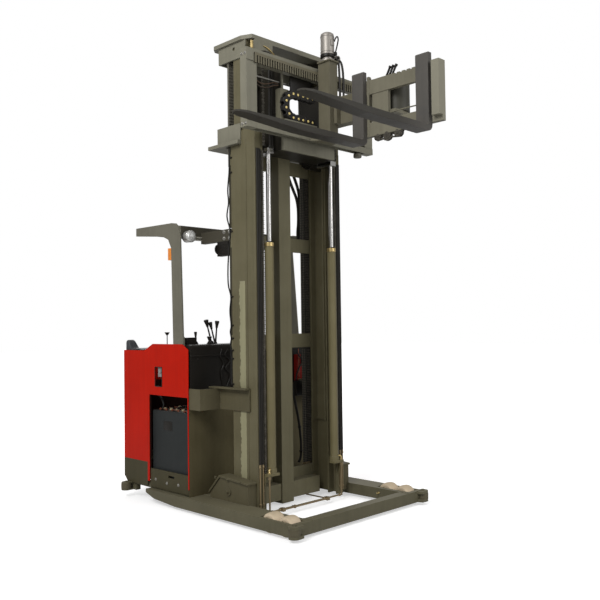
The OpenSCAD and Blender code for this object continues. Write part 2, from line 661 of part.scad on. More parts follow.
// Sliding mast: two channels inside the fixed rails
module sliding_rail() linear_extrude(inner_l) difference() {
    translate([inner_in, inner_y0]) square([inner_w, inner_y1 - inner_y0]);
    translate([inner_in - 1, inner_y0 + inner_t])
        square([inner_w - inner_t + 1, inner_y1 - inner_y0 - 2 * inner_t]);
}
bay_y = (inner_y0 + inner_y1) / 2;
pad_z = 100;
module sliding_rails() color(olive) translate([0, 0, inner_bottom]) both() {
    sliding_rail();
    translate([inner_out - 1, bay_y, pad_z]) rotate([0, 90, 0])
        cylinder(h = slide_gap + 1 - seat_gap, d = rail_d - bay_d - 2 * rail_t - 2 * seat_gap);
}
head_h = 134;
head_z0 = inner_top - head_h;
head_t = 32;
head_y0 = 54;
module sliding_crosshead() color(olive) difference() {
    union() {
        collar(inner_out, inner_y0, collar_y1, head_z0, inner_top);
        linear_extrude_at(inner_top, head_t) polygon([
            [-inner_out + 12, head_y0], [inner_out - 12, head_y0], [inner_out + 30, inner_y0 + 35],
            [inner_out + 30, collar_y1 + 40], [inner_out - 10, collar_y1 + 77],
                [-inner_out + 10, collar_y1 + 77],
            [-inner_out - 30, collar_y1 + 40], [-inner_out - 30, inner_y0 + 35]]);
        translate([0, head_y0 + 12, 0]) rotate([90, 0, 0]) linear_extrude(12) polygon([
            [-inner_out + 12, inner_top - 96], [-inner_out + 12, inner_top - 30], [-inner_out + 42, inner_top],
            [inner_out - 42, inner_top], [inner_out - 12, inner_top - 30], [inner_out - 12, inner_top - 96]]);
        both() block([inner_out - 90, head_y0 + 12, inner_top - 96], [inner_out - 78, inner_y0, inner_top]);
    }
    both() translate([inner_out + collar_t / 2, 255, inner_top - 46]) bar_x(30, 40);
    block([-inner_out / 2, head_y0 - 1, inner_top - 78], [inner_out * 0.68, head_y0 + 13, inner_top - 8]);
}
// Chain wheels under the head plate, and the hose bands that hang from it behind the rails
wheel_z = inner_top - 75;
chain_wheel_d = 136;
module lift_chains() color(black) both() {
    translate([inner_in - 94, bay_y, wheel_z]) rotate([0, 90, 0]) {
        for (x = [0, 30]) translate([0, 0, x]) cylinder(h = 8, d = chain_wheel_d);
        cylinder(h = 38, d = chain_wheel_d - 22);
        cylinder(h = inner_out - inner_t - seat_gap - inner_in + 94, d = 30);
    }
    hose_band(inner_out - 64, 60, rail_d + 42, inner_top - seat_gap - 39 * link_pitch, 39);
    for (x = [80, 106]) translate([inner_out - x, rail_d + 53, inner_top - seat_gap - 39 * link_pitch])
        cylinder(h = 39 * link_pitch, d = 21, $fn = 24);
}
// Rods and the brackets that tie them to the sliding rails
yoke_below = 930;
rod_l = 1940;
yoke_z = inner_top - yoke_below;
rod_bottom = yoke_z - rod_l;
module lift_rods() color(steel) both() {
    translate([cyl_x, -cyl_y, rod_bottom]) cylinder(h = yoke_z - rod_bottom, d = rod_d);
    block([cyl_x - 30, -cyl_y - 35, yoke_z], [inner_in, inner_y0 + 6, yoke_z + 40]);
}

// Traverse frame: posts and beams, and the plates that reach back into the sliding rails
beam_back = -frame_front + frame_d;
slide_plate_x = inner_in - 100;
post_top_z = frame_top - 92;
cross_low = frame_low - 190;
module traverse_frame() color(olive) {
    both() block([frame_half - post_w, -frame_front + 4, frame_low], [frame_half, beam_back, post_top_z]);
    difference() {
        block([-frame_half, -frame_front, frame_low], [frame_half, beam_back, frame_low + 50]);
        block([-frame_half - 1, -frame_front + 10, frame_low - 1],
            [frame_half + 1, beam_back - 10, frame_low + 40]);
    }
    block([-frame_half, -frame_front, post_top_z], [frame_half, beam_back, frame_top]);
    both() block([slide_plate_x - 16, beam_back, cross_low + 90], [slide_plate_x, 250, frame_top - 30]);
    both() for (z = [frame_low - 60, frame_top - 110])
        translate([slide_plate_x - 2, bay_y, z]) rotate([0, 90, 0])
            cylinder(h = inner_out - inner_t + 2 - seat_gap - slide_plate_x,
                d = inner_y1 - inner_y0 - 2 * inner_t - 2 * seat_gap);
    block([-slide_plate_x, beam_back - 12, cross_low + 90], [slide_plate_x, beam_back, frame_low]);
    block([-slide_plate_x, beam_back, cross_low + 90], [slide_plate_x, 120, cross_low + 102]);
    both() along_x_at(slide_plate_x - 60, 12) polygon([
        [beam_back, cross_low + 102], [60, cross_low + 102], [beam_back, frame_low]]);
    block([-chain_end, beam_back - 12, frame_low + 50], [chain_end, beam_back, frame_low + 130]);
    block([-chain_end, -frame_front + 4, chain_z - 12], [30, beam_back - 12, chain_z]);
}
// Rack under the upper beam
tooth_pitch = 26;
rack_l = 2 * (frame_half - post_w) + 60;
rack_h = 80;
rack_top = frame_top - 26;
module rack() color(olive) difference() {
    block([-rack_l / 2, -frame_front - 12, rack_top - rack_h], [rack_l / 2, -frame_front, rack_top]);
    for (x = [-rack_l / 2 + tooth_pitch : tooth_pitch : rack_l / 2 - tooth_pitch])
        block([x - tooth_pitch / 4, -frame_front - 13, rack_top - rack_h - 1],
            [x + tooth_pitch / 4, -frame_front + 1, rack_top - 22]);
}
// Drag chain: a loop that lies on its tray beside the column
chain_d = 240;
chain_x = -180;
chain_t = 56;
chain_z = frame_low + 130;
chain_end = 330;
chain_run = 20;
chain_links = 11;
module drag_chain() color(black) {
    y1 = beam_back - 14;
    w = 44;
    mid_z = chain_z + chain_d / 2;
    difference() {
        union() {
            difference() {
                translate([chain_x, y1, mid_z]) rotate([90, 0, 0]) cylinder(h = w, d = chain_d);
                translate([chain_x, y1 + 1, mid_z]) rotate([90, 0, 0])
                    cylinder(h = w + 2, d = chain_d - 2 * chain_t);
                block([chain_x, y1 - w - 1, chain_z - 1], [chain_x + chain_d, y1 + 1, chain_z + chain_d + 1]);
            }
            block([chain_x - 1, y1 - w, chain_z], [chain_run, y1, chain_z + chain_t]);
            block([chain_x - 1, y1 - w, chain_z + chain_d - chain_t], [chain_run, y1, chain_z + chain_d]);
        }
        for (i = [0 : chain_links]) translate([chain_x, y1 - w - 1, mid_z])
            rotate([0, -90 - i * 180 / chain_links, 0])
            block([chain_d / 2 - 9, 0, -2], [chain_d / 2 + 3, w + 2, 2]);
        for (x = [chain_x + 38 : 38 : chain_run - 10]) for (z = [chain_z - 3, chain_z + chain_d - 9])
            block([x - 2, y1 - w - 1, z], [x + 2, y1 + 1, z + 12]);
    }
}

// Turret: the column that runs along the frame and the arm to the swing axis
col_back = -frame_front - 12 - seat_gap;
col_front = col_back - column_d;
arm_z0 = frame_low + 135;
arm_z1 = arm_z0 + 225;
hub_d = swing_d + 40;
arm_x0 = column_x + column_w / 2;
module turret_arm() color(olive) {
    block([column_x - column_w / 2, col_front, frame_low + 10], [arm_x0, col_back, frame_top + 40]);
    block([column_x - column_w / 2 - 12, col_front - 12, frame_top + 40],
        [arm_x0 + 12, col_back, frame_top + 52]);
    linear_extrude_at(frame_low - 8, 19) polygon([
        [column_x - 150, col_back], [column_x - column_w / 2, col_front - 10], [arm_x0, col_front - 10],
        [arm_x0 + 60, col_back]]);
    difference() {
        union() {
            linear_extrude_at(arm_z0, arm_z1 - arm_z0) polygon([
                [arm_x0, col_back - 10], [arm_x0, col_front - 30], [swing_x - 60, -swing_y + 70],
                [swing_x + 60, -swing_y + 70], [arm_x0 + 90, col_front - 30], [arm_x0 + 90, col_back - 10]]);
            block([column_x, col_front - 30, arm_z0], [arm_x0 + 1, col_front + 1, arm_z1]);
            translate([swing_x, -swing_y, arm_z0]) cylinder(h = arm_z1 - arm_z0, d = hub_d);
        }
        translate([swing_x, -swing_y, arm_z0 - 1]) cylinder(h = arm_z1 - arm_z0 + 2, d = swing_d + 2 * pin_gap);
    }
}
module traverse_motor() color(steel) translate([column_x, (col_front + col_back) / 2, frame_top + 52]) {
    rotate_extrude() polygon([[0, 0], [60, 0], [60, 12], [42, 16], [42, 44], [54, 52], [56, 62], [56, 214],
        [52, 228], [38, 238], [0, 240]]);
    block([34, -34, 0], [106, 30, 66]);
    translate([74, -34, 36]) rotate([90, 0, 0]) cylinder(h = 22, d = 44, $fn = 32);
    translate([82, 0, 66]) cylinder(h = 30, d = 36, $fn = 32);
}
// Chain wheels of the swing drive, under the lower bar. Columns: distance ahead of the swing axis, radius
wheel_rows = [[-80, 34], [5, 44], [105, 40]];
module sprockets() {
    for (row = wheel_rows) translate([carr_x - bar_t + 6, -swing_y - row[0], bar_low - 4]) rotate([0, 90, 0])
        linear_extrude(22) polygon([for (i = [0 : 31]) let (r = row[1] - 5 * (i % 2))
            [r * cos(i * 11.25), r * sin(i * 11.25)]]);
    block([carr_x - bar_t + 12, -swing_y - 140, bar_low - 14],
        [carr_x - bar_t + 22, -swing_y + 110, bar_low + 1]);
}
// Fork carriage: two bars, a web, an end post and the ears that carry the swing shaft
carr_x = swing_x - carr_back;
carr_mid = -swing_y - carr_ahead;
ear_t = 30;
ear_w = 150;
module fork_carriage() color(olive) {
    difference() {
        for (z = [bar_low, bar_top - bar_h])
            block([carr_x - bar_t, carr_mid - carr_half, z], [carr_x, carr_mid + carr_half, z + bar_h]);
        for (i = [0 : 4]) block([carr_x - bar_t - 1, -swing_y - 110 - i * 46, bar_top - 9],
            [carr_x + 1, -swing_y - 92 - i * 46, bar_top + 1]);
    }
    block([carr_x - bar_t + 5, -swing_y - 22, bar_low + bar_h], [carr_x, -swing_y + 130, bar_top - bar_h]);
    near_y = carr_mid + fork_half - fork_w / 2;
    translate([0, near_y - 2, 0]) rotate([90, 0, 0]) linear_extrude(22) polygon([
        [carr_x - bar_t, bar_low], [carr_x - bar_t, bar_top + 30], [carr_x - 12, bar_top + 30],
            [carr_x, bar_top + 8],
        [carr_x, bar_low]]);
    translate([carr_x - bar_t / 2, -swing_y - 20, arm_z0 - 26]) rotate([90, 0, 0])
        cylinder(h = carr_half + 50, d = 10, $fn = 24);
    sprockets();
    for (z = [arm_z0 - ear_t - seat_gap, arm_z1 + seat_gap]) {
        block([carr_x - 5, -swing_y - ear_w / 2, z], [swing_x, -swing_y + ear_w / 2, z + ear_t]);
        translate([swing_x, -swing_y, z]) cylinder(h = ear_t, d = ear_w);
    }
    block([carr_x - 5, -swing_y - ear_w / 2, arm_z1 + seat_gap],
        [carr_x, -swing_y + ear_w / 2, arm_z1 + ear_t]);
    translate([swing_x, -swing_y, arm_z0 - ear_t]) cylinder(h = arm_z1 - arm_z0 + 2 * ear_t, d = swing_d);
    difference() {
        block([carr_x - bar_t - 42, carr_mid - carr_half - 67, bar_low],
            [carr_x, carr_mid - carr_half, bar_top - 5]);
        block([carr_x - bar_t - 43, carr_mid - carr_half - 68, bar_low - 1],
            [carr_x - bar_t, carr_mid - carr_half + 1, bar_low + 40]);
    }
}
// Forks: a shank and a tapered blade, one at each end
shank_top = bar_top + 65;
blade_low = bar_low - 67;
heel_r = 50;
tip_t = 12;
module fork(y) translate([carr_x - bar_t, y + fork_w / 2, 0]) difference() {
    rotate([90, 0, 0]) linear_extrude(fork_w) polygon([
        each [[-fork_t + 8, shank_top], [0, shank_top]],
        each [for (a = [0 : -18 : -90]) [-heel_r + heel_r * cos(a), blade_low + heel_r + heel_r * sin(a)]],
        [-fork_l * 0.55, blade_low], [-fork_l, blade_low + fork_t - tip_t], [-fork_l, blade_low + fork_t],
        [-fork_t - 12, blade_low + fork_t], [-fork_t, blade_low + fork_t + 12], [-fork_t, shank_top - 8]]);
    for (side = [0, 1]) translate([-fork_l, -fork_w * (1 - side), blade_low - 1]) mirror([0, side, 0])
        linear_extrude(fork_t + 2) polygon([[-1, -1], [70, -1], [70, 0], [20, fork_w * 0.16],
            [-1, fork_w * 0.34]]);
}
module forks() color("dimgray") for (dy = [-fork_half, fork_half]) fork(carr_mid + dy);

base_frame();
load_wheel_fr();
load_wheel_rr();
load_wheel_fl();
load_wheel_rl();
guide_roller_fr();
guide_roller_fl();
guide_roller_rr();
guide_roller_rl();
drive_unit();
drive_wheel();
castor_fork();
castor_wheel();
body_panels();
skirt();
front_wall();
console();
levers();
cover();
battery();
battery_retainer();
back_pad();
foot_mat();
overhead_guard();
work_lamps();
marker_lamp();
fixed_rails();
fixed_crosshead();
centre_column();
mast_stays();
lift_tubes();
glands();
pipes();
mast_cable();
front_chains();
sliding_rails();
sliding_crosshead();
lift_chains();
lift_rods();
traverse_frame();
rack();
drag_chain();
turret_arm();
traverse_motor();
fork_carriage();
forks();
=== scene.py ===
import math
import bpy
import bmesh
from mathutils import Matrix, Vector

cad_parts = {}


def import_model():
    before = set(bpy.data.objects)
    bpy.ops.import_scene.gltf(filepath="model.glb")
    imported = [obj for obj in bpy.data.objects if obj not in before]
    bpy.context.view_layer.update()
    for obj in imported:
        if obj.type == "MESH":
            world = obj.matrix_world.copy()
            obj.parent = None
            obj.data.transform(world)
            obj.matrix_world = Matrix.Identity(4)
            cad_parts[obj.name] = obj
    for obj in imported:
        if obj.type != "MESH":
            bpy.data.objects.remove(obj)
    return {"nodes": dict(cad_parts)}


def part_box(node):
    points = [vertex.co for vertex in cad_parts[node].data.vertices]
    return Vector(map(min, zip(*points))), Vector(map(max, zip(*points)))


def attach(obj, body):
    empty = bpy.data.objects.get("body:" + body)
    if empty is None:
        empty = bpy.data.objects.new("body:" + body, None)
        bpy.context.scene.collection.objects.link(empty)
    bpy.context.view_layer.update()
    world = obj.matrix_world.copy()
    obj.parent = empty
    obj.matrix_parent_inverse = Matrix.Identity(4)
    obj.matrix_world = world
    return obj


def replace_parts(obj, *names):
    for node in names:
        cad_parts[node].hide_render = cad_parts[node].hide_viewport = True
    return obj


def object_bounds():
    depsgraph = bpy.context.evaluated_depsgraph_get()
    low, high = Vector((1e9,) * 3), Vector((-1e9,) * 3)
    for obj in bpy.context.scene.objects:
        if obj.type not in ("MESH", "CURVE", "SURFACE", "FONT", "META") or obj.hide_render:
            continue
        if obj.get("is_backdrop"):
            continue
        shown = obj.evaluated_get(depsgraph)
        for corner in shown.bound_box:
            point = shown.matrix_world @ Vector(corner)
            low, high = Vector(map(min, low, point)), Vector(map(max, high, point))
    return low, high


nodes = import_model()["nodes"]
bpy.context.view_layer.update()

# Camera, at the photograph's place and angle, about one and a half metres above the floor
# on the truck's right front corner.
def add_thing(name, data):
    thing = bpy.data.objects.new(name, data)
    bpy.context.scene.collection.objects.link(thing)
    return thing


yaw, pitch, roll = math.radians(45.254), math.radians(1.851), math.radians(-0.76)
focal_pixels, photo_pixels = 755.44, 600.0
look = Vector((math.sin(yaw) * math.cos(pitch), math.cos(yaw) * math.cos(pitch), math.sin(pitch)))
side = Vector((math.cos(yaw), -math.sin(yaw), 0.0))
above = side.cross(look)
cam_data = bpy.data.cameras.new("view_camera")
cam_data.sensor_fit = "HORIZONTAL"
cam_data.sensor_width = 36.0
cam_data.lens = 36.0 * focal_pixels / photo_pixels
cam_data.clip_end = 100.0
camera = add_thing("view_camera", cam_data)
cam_x = side * math.cos(roll) + above * math.sin(roll)
cam_y = above * math.cos(roll) - side * math.sin(roll)
turn = Matrix((cam_x, cam_y, -look)).transposed().to_4x4()
camera.matrix_world = Matrix.Translation(Vector((-4.435, -4.386, 1.5))) @ turn
bpy.context.scene.camera = camera
bpy.context.scene.view_settings.view_transform = "Standard"

# Studio: a white floor and air, one broad lamp high over the camera's left
# shoulder, a weaker one to the right and one behind, so paint keeps its own colour.
def soft_lamp(name, place, aim, size, watts):
    lamp = bpy.data.lights.new(name, "AREA")
    lamp.shape = "SQUARE"
    lamp.size = size
    lamp.energy = watts
    holder = add_thing(name, lamp)
    holder.location = place
    holder.rotation_euler = (Vector(aim) - Vector(place)).to_track_quat("-Z", "Y").to_euler()


def feed(tree, node, sources):
    for socket, source in sources.items():
        if isinstance(source, bpy.types.NodeSocket):
            tree.links.new(source, node.inputs[socket])
        else:
            node.inputs[socket].default_value = source


def add_node(tree, kind, sources, **settings):
    node = tree.nodes.new("ShaderNode" + kind)
    for key, value in settings.items():
        setattr(node, key, value)
    feed(tree, node, sources)
    return node


def ramp(tree, source, start, stop, low=0.0, high=1.0):
    sources = {"Value": source, "From Min": start, "From Max": stop, "To Min": low, "To Max": high}
    return add_node(tree, "MapRange", sources).outputs[0]


def reckon(tree, operation, *terms, clamp=False):
    return add_node(tree, "Math", dict(enumerate(terms)), operation=operation, use_clamp=clamp).outputs[0]


soft_lamp("lamp_front_left", (-7.5, -2.0, 7.5), (0.0, 0.0, 2.2), 4.0, 680)
soft_lamp("lamp_front_right", (1.5, -8.0, 5.0), (0.0, 0.0, 1.8), 4.5, 250)
soft_lamp("lamp_behind", (4.5, 6.0, 6.0), (0.0, 0.5, 2.0), 4.0, 220)
white = (1.0, 1.0, 1.0, 1.0)
world = bpy.data.worlds.new("studio_air")
bpy.context.scene.world = world
world.use_nodes = True
air = world.node_tree
air.nodes.clear()
ray = add_node(air, "LightPath", {}).outputs
lit = add_node(air, "Background", {"Color": white, "Strength": 0.5})
seen = add_node(air, "Background", {"Color": white, "Strength": 1.0})
clear = reckon(air, "MAXIMUM", ray["Is Camera Ray"], ray["Is Transmission Ray"])
pick = add_node(air, "MixShader", {"Fac": clear, 1: lit.outputs[0], 2: seen.outputs[0]})
add_node(air, "OutputWorld", {"Surface": pick.outputs[0]})

floor_half = 40.0
floor_mesh = bpy.data.meshes.new("studio_floor")
floor_mesh.from_pydata([(x * floor_half, y * floor_half, 0.0) for x, y in ((-1, -1), (1, -1), (1, 1), (-1, 1))], [],
    [(0, 1, 2, 3)])
floor = add_thing("studio_floor", floor_mesh)
floor_look = bpy.data.materials.new("pale_floor")
floor_look.use_nodes = True
tree = floor_look.node_tree
paint = tree.nodes["Principled BSDF"]
feed(tree, paint, {"Base Color": (0.62, 0.62, 0.62, 1.0), "Roughness": 0.9})
spot = add_node(tree, "TexCoord", {}).outputs["Object"]
far = add_node(tree, "VectorMath", {0: spot}, operation="LENGTH").outputs["Value"]
to_camera = add_node(tree, "LightPath", {}).outputs["Is Camera Ray"]
glow = reckon(tree, "MULTIPLY", ramp(tree, far, 1.5, 5.0, 0.52, 1.0), to_camera)
floor_glow = add_node(tree, "Emission", {"Color": white, "Strength": glow})
floor_sum = add_node(tree, "AddShader", {0: paint.outputs[0], 1: floor_glow.outputs[0]})
feed(tree, tree.nodes["Material Output"], {"Surface": floor_sum.outputs[0]})
floor.data.materials.append(floor_look)
floor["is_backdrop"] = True

# Base frame: welded plate and box legs, sprayed in olive-grey paint that has gone dusty
# on top and is rubbed at the edges. One node group holds the wear of all the materials.
def blend(tree, factor, under, over, kind="MIX"):
    sources = {"Factor": factor, "A": under, "B": over}
    return add_node(tree, "Mix", sources, data_type="RGBA", blend_type=kind).outputs["Result"]


def new_group(name, inputs, outputs):
    group = bpy.data.node_groups.new(name, "ShaderNodeTree")
    for socket, kind, default in inputs:
        made = group.interface.new_socket(name=socket, in_out="INPUT", socket_type="NodeSocket" + kind)
        made.default_value = default
    for socket, kind in outputs:
        group.interface.new_socket(name=socket, in_out="OUTPUT", socket_type="NodeSocket" + kind)
    return group, group.nodes.new("NodeGroupInput").outputs, group.nodes.new("NodeGroupOutput")


def noise(tree, where, scale, detail, rough=0.5):
    sources = {"Vector": where, "Scale": scale, "Detail": detail, "Roughness": rough}
    return add_node(tree, "TexNoise", sources).outputs["Fac"]


paint_wear, given, result = new_group("paint_wear", (("Paint", "Color", (0.18, 0.16, 0.1, 1.0)),
    ("Bare", "Color", (0.3, 0.29, 0.25, 1.0)), ("Dust", "Color", (0.3, 0.28, 0.22, 1.0)), ("Gloss", "Float", 0.45),
    ("Edge", "Float", 0.5), ("Dirt", "Float", 0.3),), (("Colour", "Color"), ("Roughness", "Float"),
    ("Relief", "Float"), ("Rounded", "Vector")))
place = add_node(paint_wear, "TexCoord", {}).outputs["Object"]
faces = add_node(paint_wear, "NewGeometry", {}).outputs
mottle = noise(paint_wear, place, 3.2, 6.0, 0.62)
fine = noise(paint_wear, place, 260.0, 3.0)
scuff = noise(paint_wear, place, 21.0, 8.0, 0.72)
stretch = add_node(paint_wear, "Mapping", {"Vector": place, "Scale": (38.0, 38.0, 1.6)}).outputs[0]
streak = noise(paint_wear, stretch, 1.0, 4.0)
facing = add_node(paint_wear, "SeparateXYZ", {0: faces["Normal"]}).outputs["Z"]
settled = reckon(paint_wear, "MULTIPLY", ramp(paint_wear, mottle, 0.38, 0.72), 0.55)
settled = reckon(paint_wear, "MULTIPLY_ADD", ramp(paint_wear, facing, 0.35, 1.0), 0.9, settled)
dusty = reckon(paint_wear, "MULTIPLY", settled, given["Dirt"], clamp=True)
rounded = add_node(paint_wear, "Bevel", {"Radius": 0.004}, samples=4).outputs[0]
bent = add_node(paint_wear, "VectorMath", {0: rounded, 1: faces["True Normal"]},
    operation="DOT_PRODUCT").outputs["Value"]
rubbed = reckon(paint_wear, "MULTIPLY", ramp(paint_wear, bent, 0.985, 0.8), ramp(paint_wear, scuff, 0.42, 0.62))
rubbed = reckon(paint_wear, "MULTIPLY", rubbed, given["Edge"], clamp=True)
runs = add_node(paint_wear, "Mix", {"Factor": 0.4, "A": mottle, "B": streak}).outputs["Result"]
tone = blend(paint_wear, 1.0, given["Paint"], ramp(paint_wear, runs, 0.3, 0.7, 0.88, 1.12), "MULTIPLY")
tone = blend(paint_wear, dusty, tone, given["Dust"])
matt = reckon(paint_wear, "MULTIPLY_ADD", dusty, 0.35, given["Gloss"])
feed(paint_wear, result, {
    "Colour": blend(paint_wear, rubbed, tone, given["Bare"]),
    "Roughness": reckon(paint_wear, "MULTIPLY_ADD", scuff, 0.14, matt, clamp=True),
    "Relief": reckon(paint_wear, "MULTIPLY_ADD", fine, 0.35, mottle),
    "Rounded": rounded,
})


def enamel(name, colour, bare, dust, gloss, edge, dirt, coat=0.0, metal=0.0, relief=0.25, shine=0.18):
    look = bpy.data.materials.new(name)
    look.use_nodes = True
    tree = look.node_tree
    wear = add_node(tree, "Group", {"Paint": (*colour, 1.0), "Bare": (*bare, 1.0), "Dust": (*dust, 1.0),
        "Gloss": gloss, "Edge": edge, "Dirt": dirt,}, node_tree=paint_wear).outputs
    bump = {"Strength": relief, "Distance": 0.0012, "Height": wear["Relief"], "Normal": wear["Rounded"]}
    feed(tree, tree.nodes["Principled BSDF"], {"Base Color": wear["Colour"], "Roughness": wear["Roughness"],
        "Normal": add_node(tree, "Bump", bump).outputs[0], "Metallic": metal,
        "Specular IOR Level": 0.5 if metal else shine, "Coat Weight": coat, "Coat Roughness": 0.12,})
    return look


def finish_node(node, look):
    nodes[node].data.materials.clear()
    nodes[node].data.materials.append(look)


def keep_piece(name, shape, look, body="truck", smooth=34.0):
    mesh = bpy.data.meshes.new(name)
    bmesh.ops.recalc_face_normals(shape, faces=shape.faces)
    shape.to_mesh(mesh)
    shape.free()
    mesh.shade_smooth()
    mesh.set_sharp_from_angle(angle=math.radians(smooth))
    mesh.materials.append(look)
    piece = add_thing(name, mesh)
    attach(piece, body)
    return piece


def block(shape, low, high, soft=0.0):
    spans = list(zip(low, high))
    corners = [shape.verts.new((x, y, z)) for z in spans[2] for y in spans[1] for x in spans[0]]
    sides = [(0, 2, 3, 1), (4, 5, 7, 6), (0, 1, 5, 4), (2, 6, 7, 3), (0, 4, 6, 2), (1, 3, 7, 5)]
    faces = [shape.faces.new([corners[i] for i in side]) for side in sides]
    if soft:
        edges = list({edge for face in faces for edge in face.edges})
        bmesh.ops.bevel(shape, geom=edges, offset=soft, segments=2, profile=0.6, affect="EDGES")


def skin(shape, rings):
    for low, high in zip(rings, rings[1:]):
        for i in range(len(low)):
            j = (i + 1) % len(low)
            shape.faces.new((low[i], low[j], high[j], high[i]))
    shape.faces.new(rings[0][::-1])
    shape.faces.new(rings[-1])


def turned(shape, origin, axis, profile, steps=24):
    lay = Vector(axis).normalized().to_track_quat("Z", "Y").to_matrix()
    spokes = [(math.cos(a), math.sin(a)) for a in (2.0 * math.pi * i / steps for i in range(steps))]
    skin(shape, [[shape.verts.new(Vector(origin) + lay @ Vector((radius * c, radius * s, rise))) for c, s in spokes]
                 for radius, rise in profile])


def hex_bolt(shape, origin, axis, across, head, washer=True):
    base = 0.0
    if washer:
        turned(shape, origin, axis, [(across * 0.98, -0.0005), (across * 0.98, across * 0.1),
            (across * 0.6, across * 0.12)], 20)
        base = across * 0.11
    corner = across / math.sqrt(3.0)
    turned(shape, origin, axis, [(corner, base), (corner, base + head * 0.82), (corner * 0.86, base + head)], 6)


def tube(shape, points, radius, steps=12):
    points = [Vector(p) for p in points]
    last = len(points) - 1
    across = None
    rings = []
    for i, point in enumerate(points):
        ahead = (points[min(i + 1, last)] - points[max(i - 1, 0)]).normalized()
        across = across or ahead.orthogonal()
        across = (across - ahead * across.dot(ahead)).normalized()
        other = ahead.cross(across)
        size = radius[i] if isinstance(radius, list) else radius
        rings.append([shape.verts.new(point + size * (across * math.cos(a) + other * math.sin(a)))
                      for a in (2.0 * math.pi * k / steps for k in range(steps))])
    skin(shape, rings)


def flowing(points, each=8):
    points = [Vector(p) for p in points]
    ends = [points[0] * 2 - points[1]] + points + [points[-1] * 2 - points[-2]]
    out = []
    for i in range(1, len(ends) - 2):
        a, b, c, d = ends[i - 1:i + 3]
        for k in range(each):
            t = k / each
            bent = (2 * a - 5 * b + 4 * c - d) * t * t + (3 * b - a - 3 * c + d) * t ** 3
            out.append(0.5 * (2 * b + (c - a) * t + bent))
    out.append(points[-1])
    return out


def weld(shape, start, end, size=0.0045):
    start, end = Vector(start), Vector(end)
    count = max(3, int((end - start).length / 0.007))
    line = [start.lerp(end, i / count) for i in range(count + 1)]
    beads = [size * (0.86 + 0.16 * math.sin(i * 2.3) + 0.08 * math.sin(i * 5.1)) for i in range(count + 1)]
    beads[0] = beads[-1] = size * 0.5
    tube(shape, line, beads, 6)


def weld_both(shape, *lines, size=0.0045):
    for s in (-1, 1):
        for x, y, z, x_end, y_end, z_end in lines:
            weld(shape, (s * x, y, z), (s * x_end, y_end, z_end), size)


low_olive = enamel("leg_olive", (0.088, 0.08, 0.048), (0.22, 0.2, 0.15), (0.135, 0.122, 0.08), 0.4, 0.4, 0.34)
finish_node("base_frame", low_olive)
beads = bmesh.new()
weld_both(beads, (0.565, -0.646, 0.1155, 0.565, -0.556, 0.1155), (0.5645, -0.5555, 0.03, 0.5645, -0.5555, 0.113),
          (0.5645, 0.298, 0.1155, 0.5645, 0.602, 0.1155))
weld_both(beads, (0.567, 0.2955, 0.104, 0.755, 0.2955, 0.1155), size=0.003)
weld_both(beads, (0.678, -0.6455, 0.115, 0.75, -0.6455, 0.115), size=0.004)
keep_piece("leg_welds", beads, low_olive)
zinc = enamel("yellow_zinc", (0.5, 0.38, 0.17), (0.66, 0.55, 0.32), (0.22, 0.17, 0.09),
    0.26, 0.5, 0.25, metal=0.9, relief=0.1)
nipples = bmesh.new()
for s in (-1, 1):
    turned(nipples, (s * 0.5655, -0.332, 0.075), (-s, 0, 0),
        [(0.01, -0.002), (0.01, 0.006), (0.006, 0.008), (0.006, 0.018), (0.004, 0.02), (0.0055, 0.024),
        (0.003, 0.027)], 12)
keep_piece("leg_nipples", nipples, zinc)

# Load wheels and side guide rollers: cream polyurethane cast on a steel hub, scuffed
# grey-brown where it rolls. The rollers picked up the frame's paint and stand on upright pins.
cream = enamel("cream_tread", (0.6, 0.49, 0.35), (0.5, 0.42, 0.3), (0.22, 0.175, 0.115), 0.5, 0.2, 0.5)
tread_rim = [(0.26, 0.0), (0.34, 0.001), (0.36, 0.004), (0.6, 0.004), (0.62, 0.0),
             (0.86, 0.0), (0.9, 0.003), (0.935, 0.009), (0.965, 0.019), (0.987, 0.032)]
for name in ("fr", "rr", "fl", "rl"):
    finish_node("load_wheel_" + name, cream)
    low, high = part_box("load_wheel_" + name)
    radius, wide = (high[2] - low[2]) / 2, high[0] - low[0]
    half = tread_rim + [(1.0, wide * 0.45)]
    profile = [(radius * r, d) for r, d in half] + [(radius * r, wide - d) for r, d in half[::-1]]
    tyre = bmesh.new()
    turned(tyre, (low[0], (low[1] + high[1]) / 2, (low[2] + high[2]) / 2), (1, 0, 0), profile, 64)
    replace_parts(keep_piece("load_tyre_" + name, tyre, cream, "load_" + name, 40.0), "load_wheel_" + name)
roller_look = enamel("roller_tread", (0.078, 0.068, 0.042), (0.2, 0.18, 0.14), (0.13, 0.115, 0.08), 0.45, 0.5, 0.4)
for name in ("fr", "fl", "rr", "rl"):
    finish_node("guide_roller_" + name, roller_look)

# Drive unit and castor under the rear: cast and plate parts in the frame's olive, a
# black press-on drive tread and a cream castor tread.
finish_node("drive_unit", low_olive)
finish_node("castor_fork", low_olive)
black_tread = enamel("drive_tread", (0.022, 0.022, 0.022), (0.05, 0.05, 0.05), (0.1, 0.09, 0.075), 0.7, 0.2, 0.5)
finish_node("drive_wheel", black_tread)
finish_node("castor_wheel", cream)

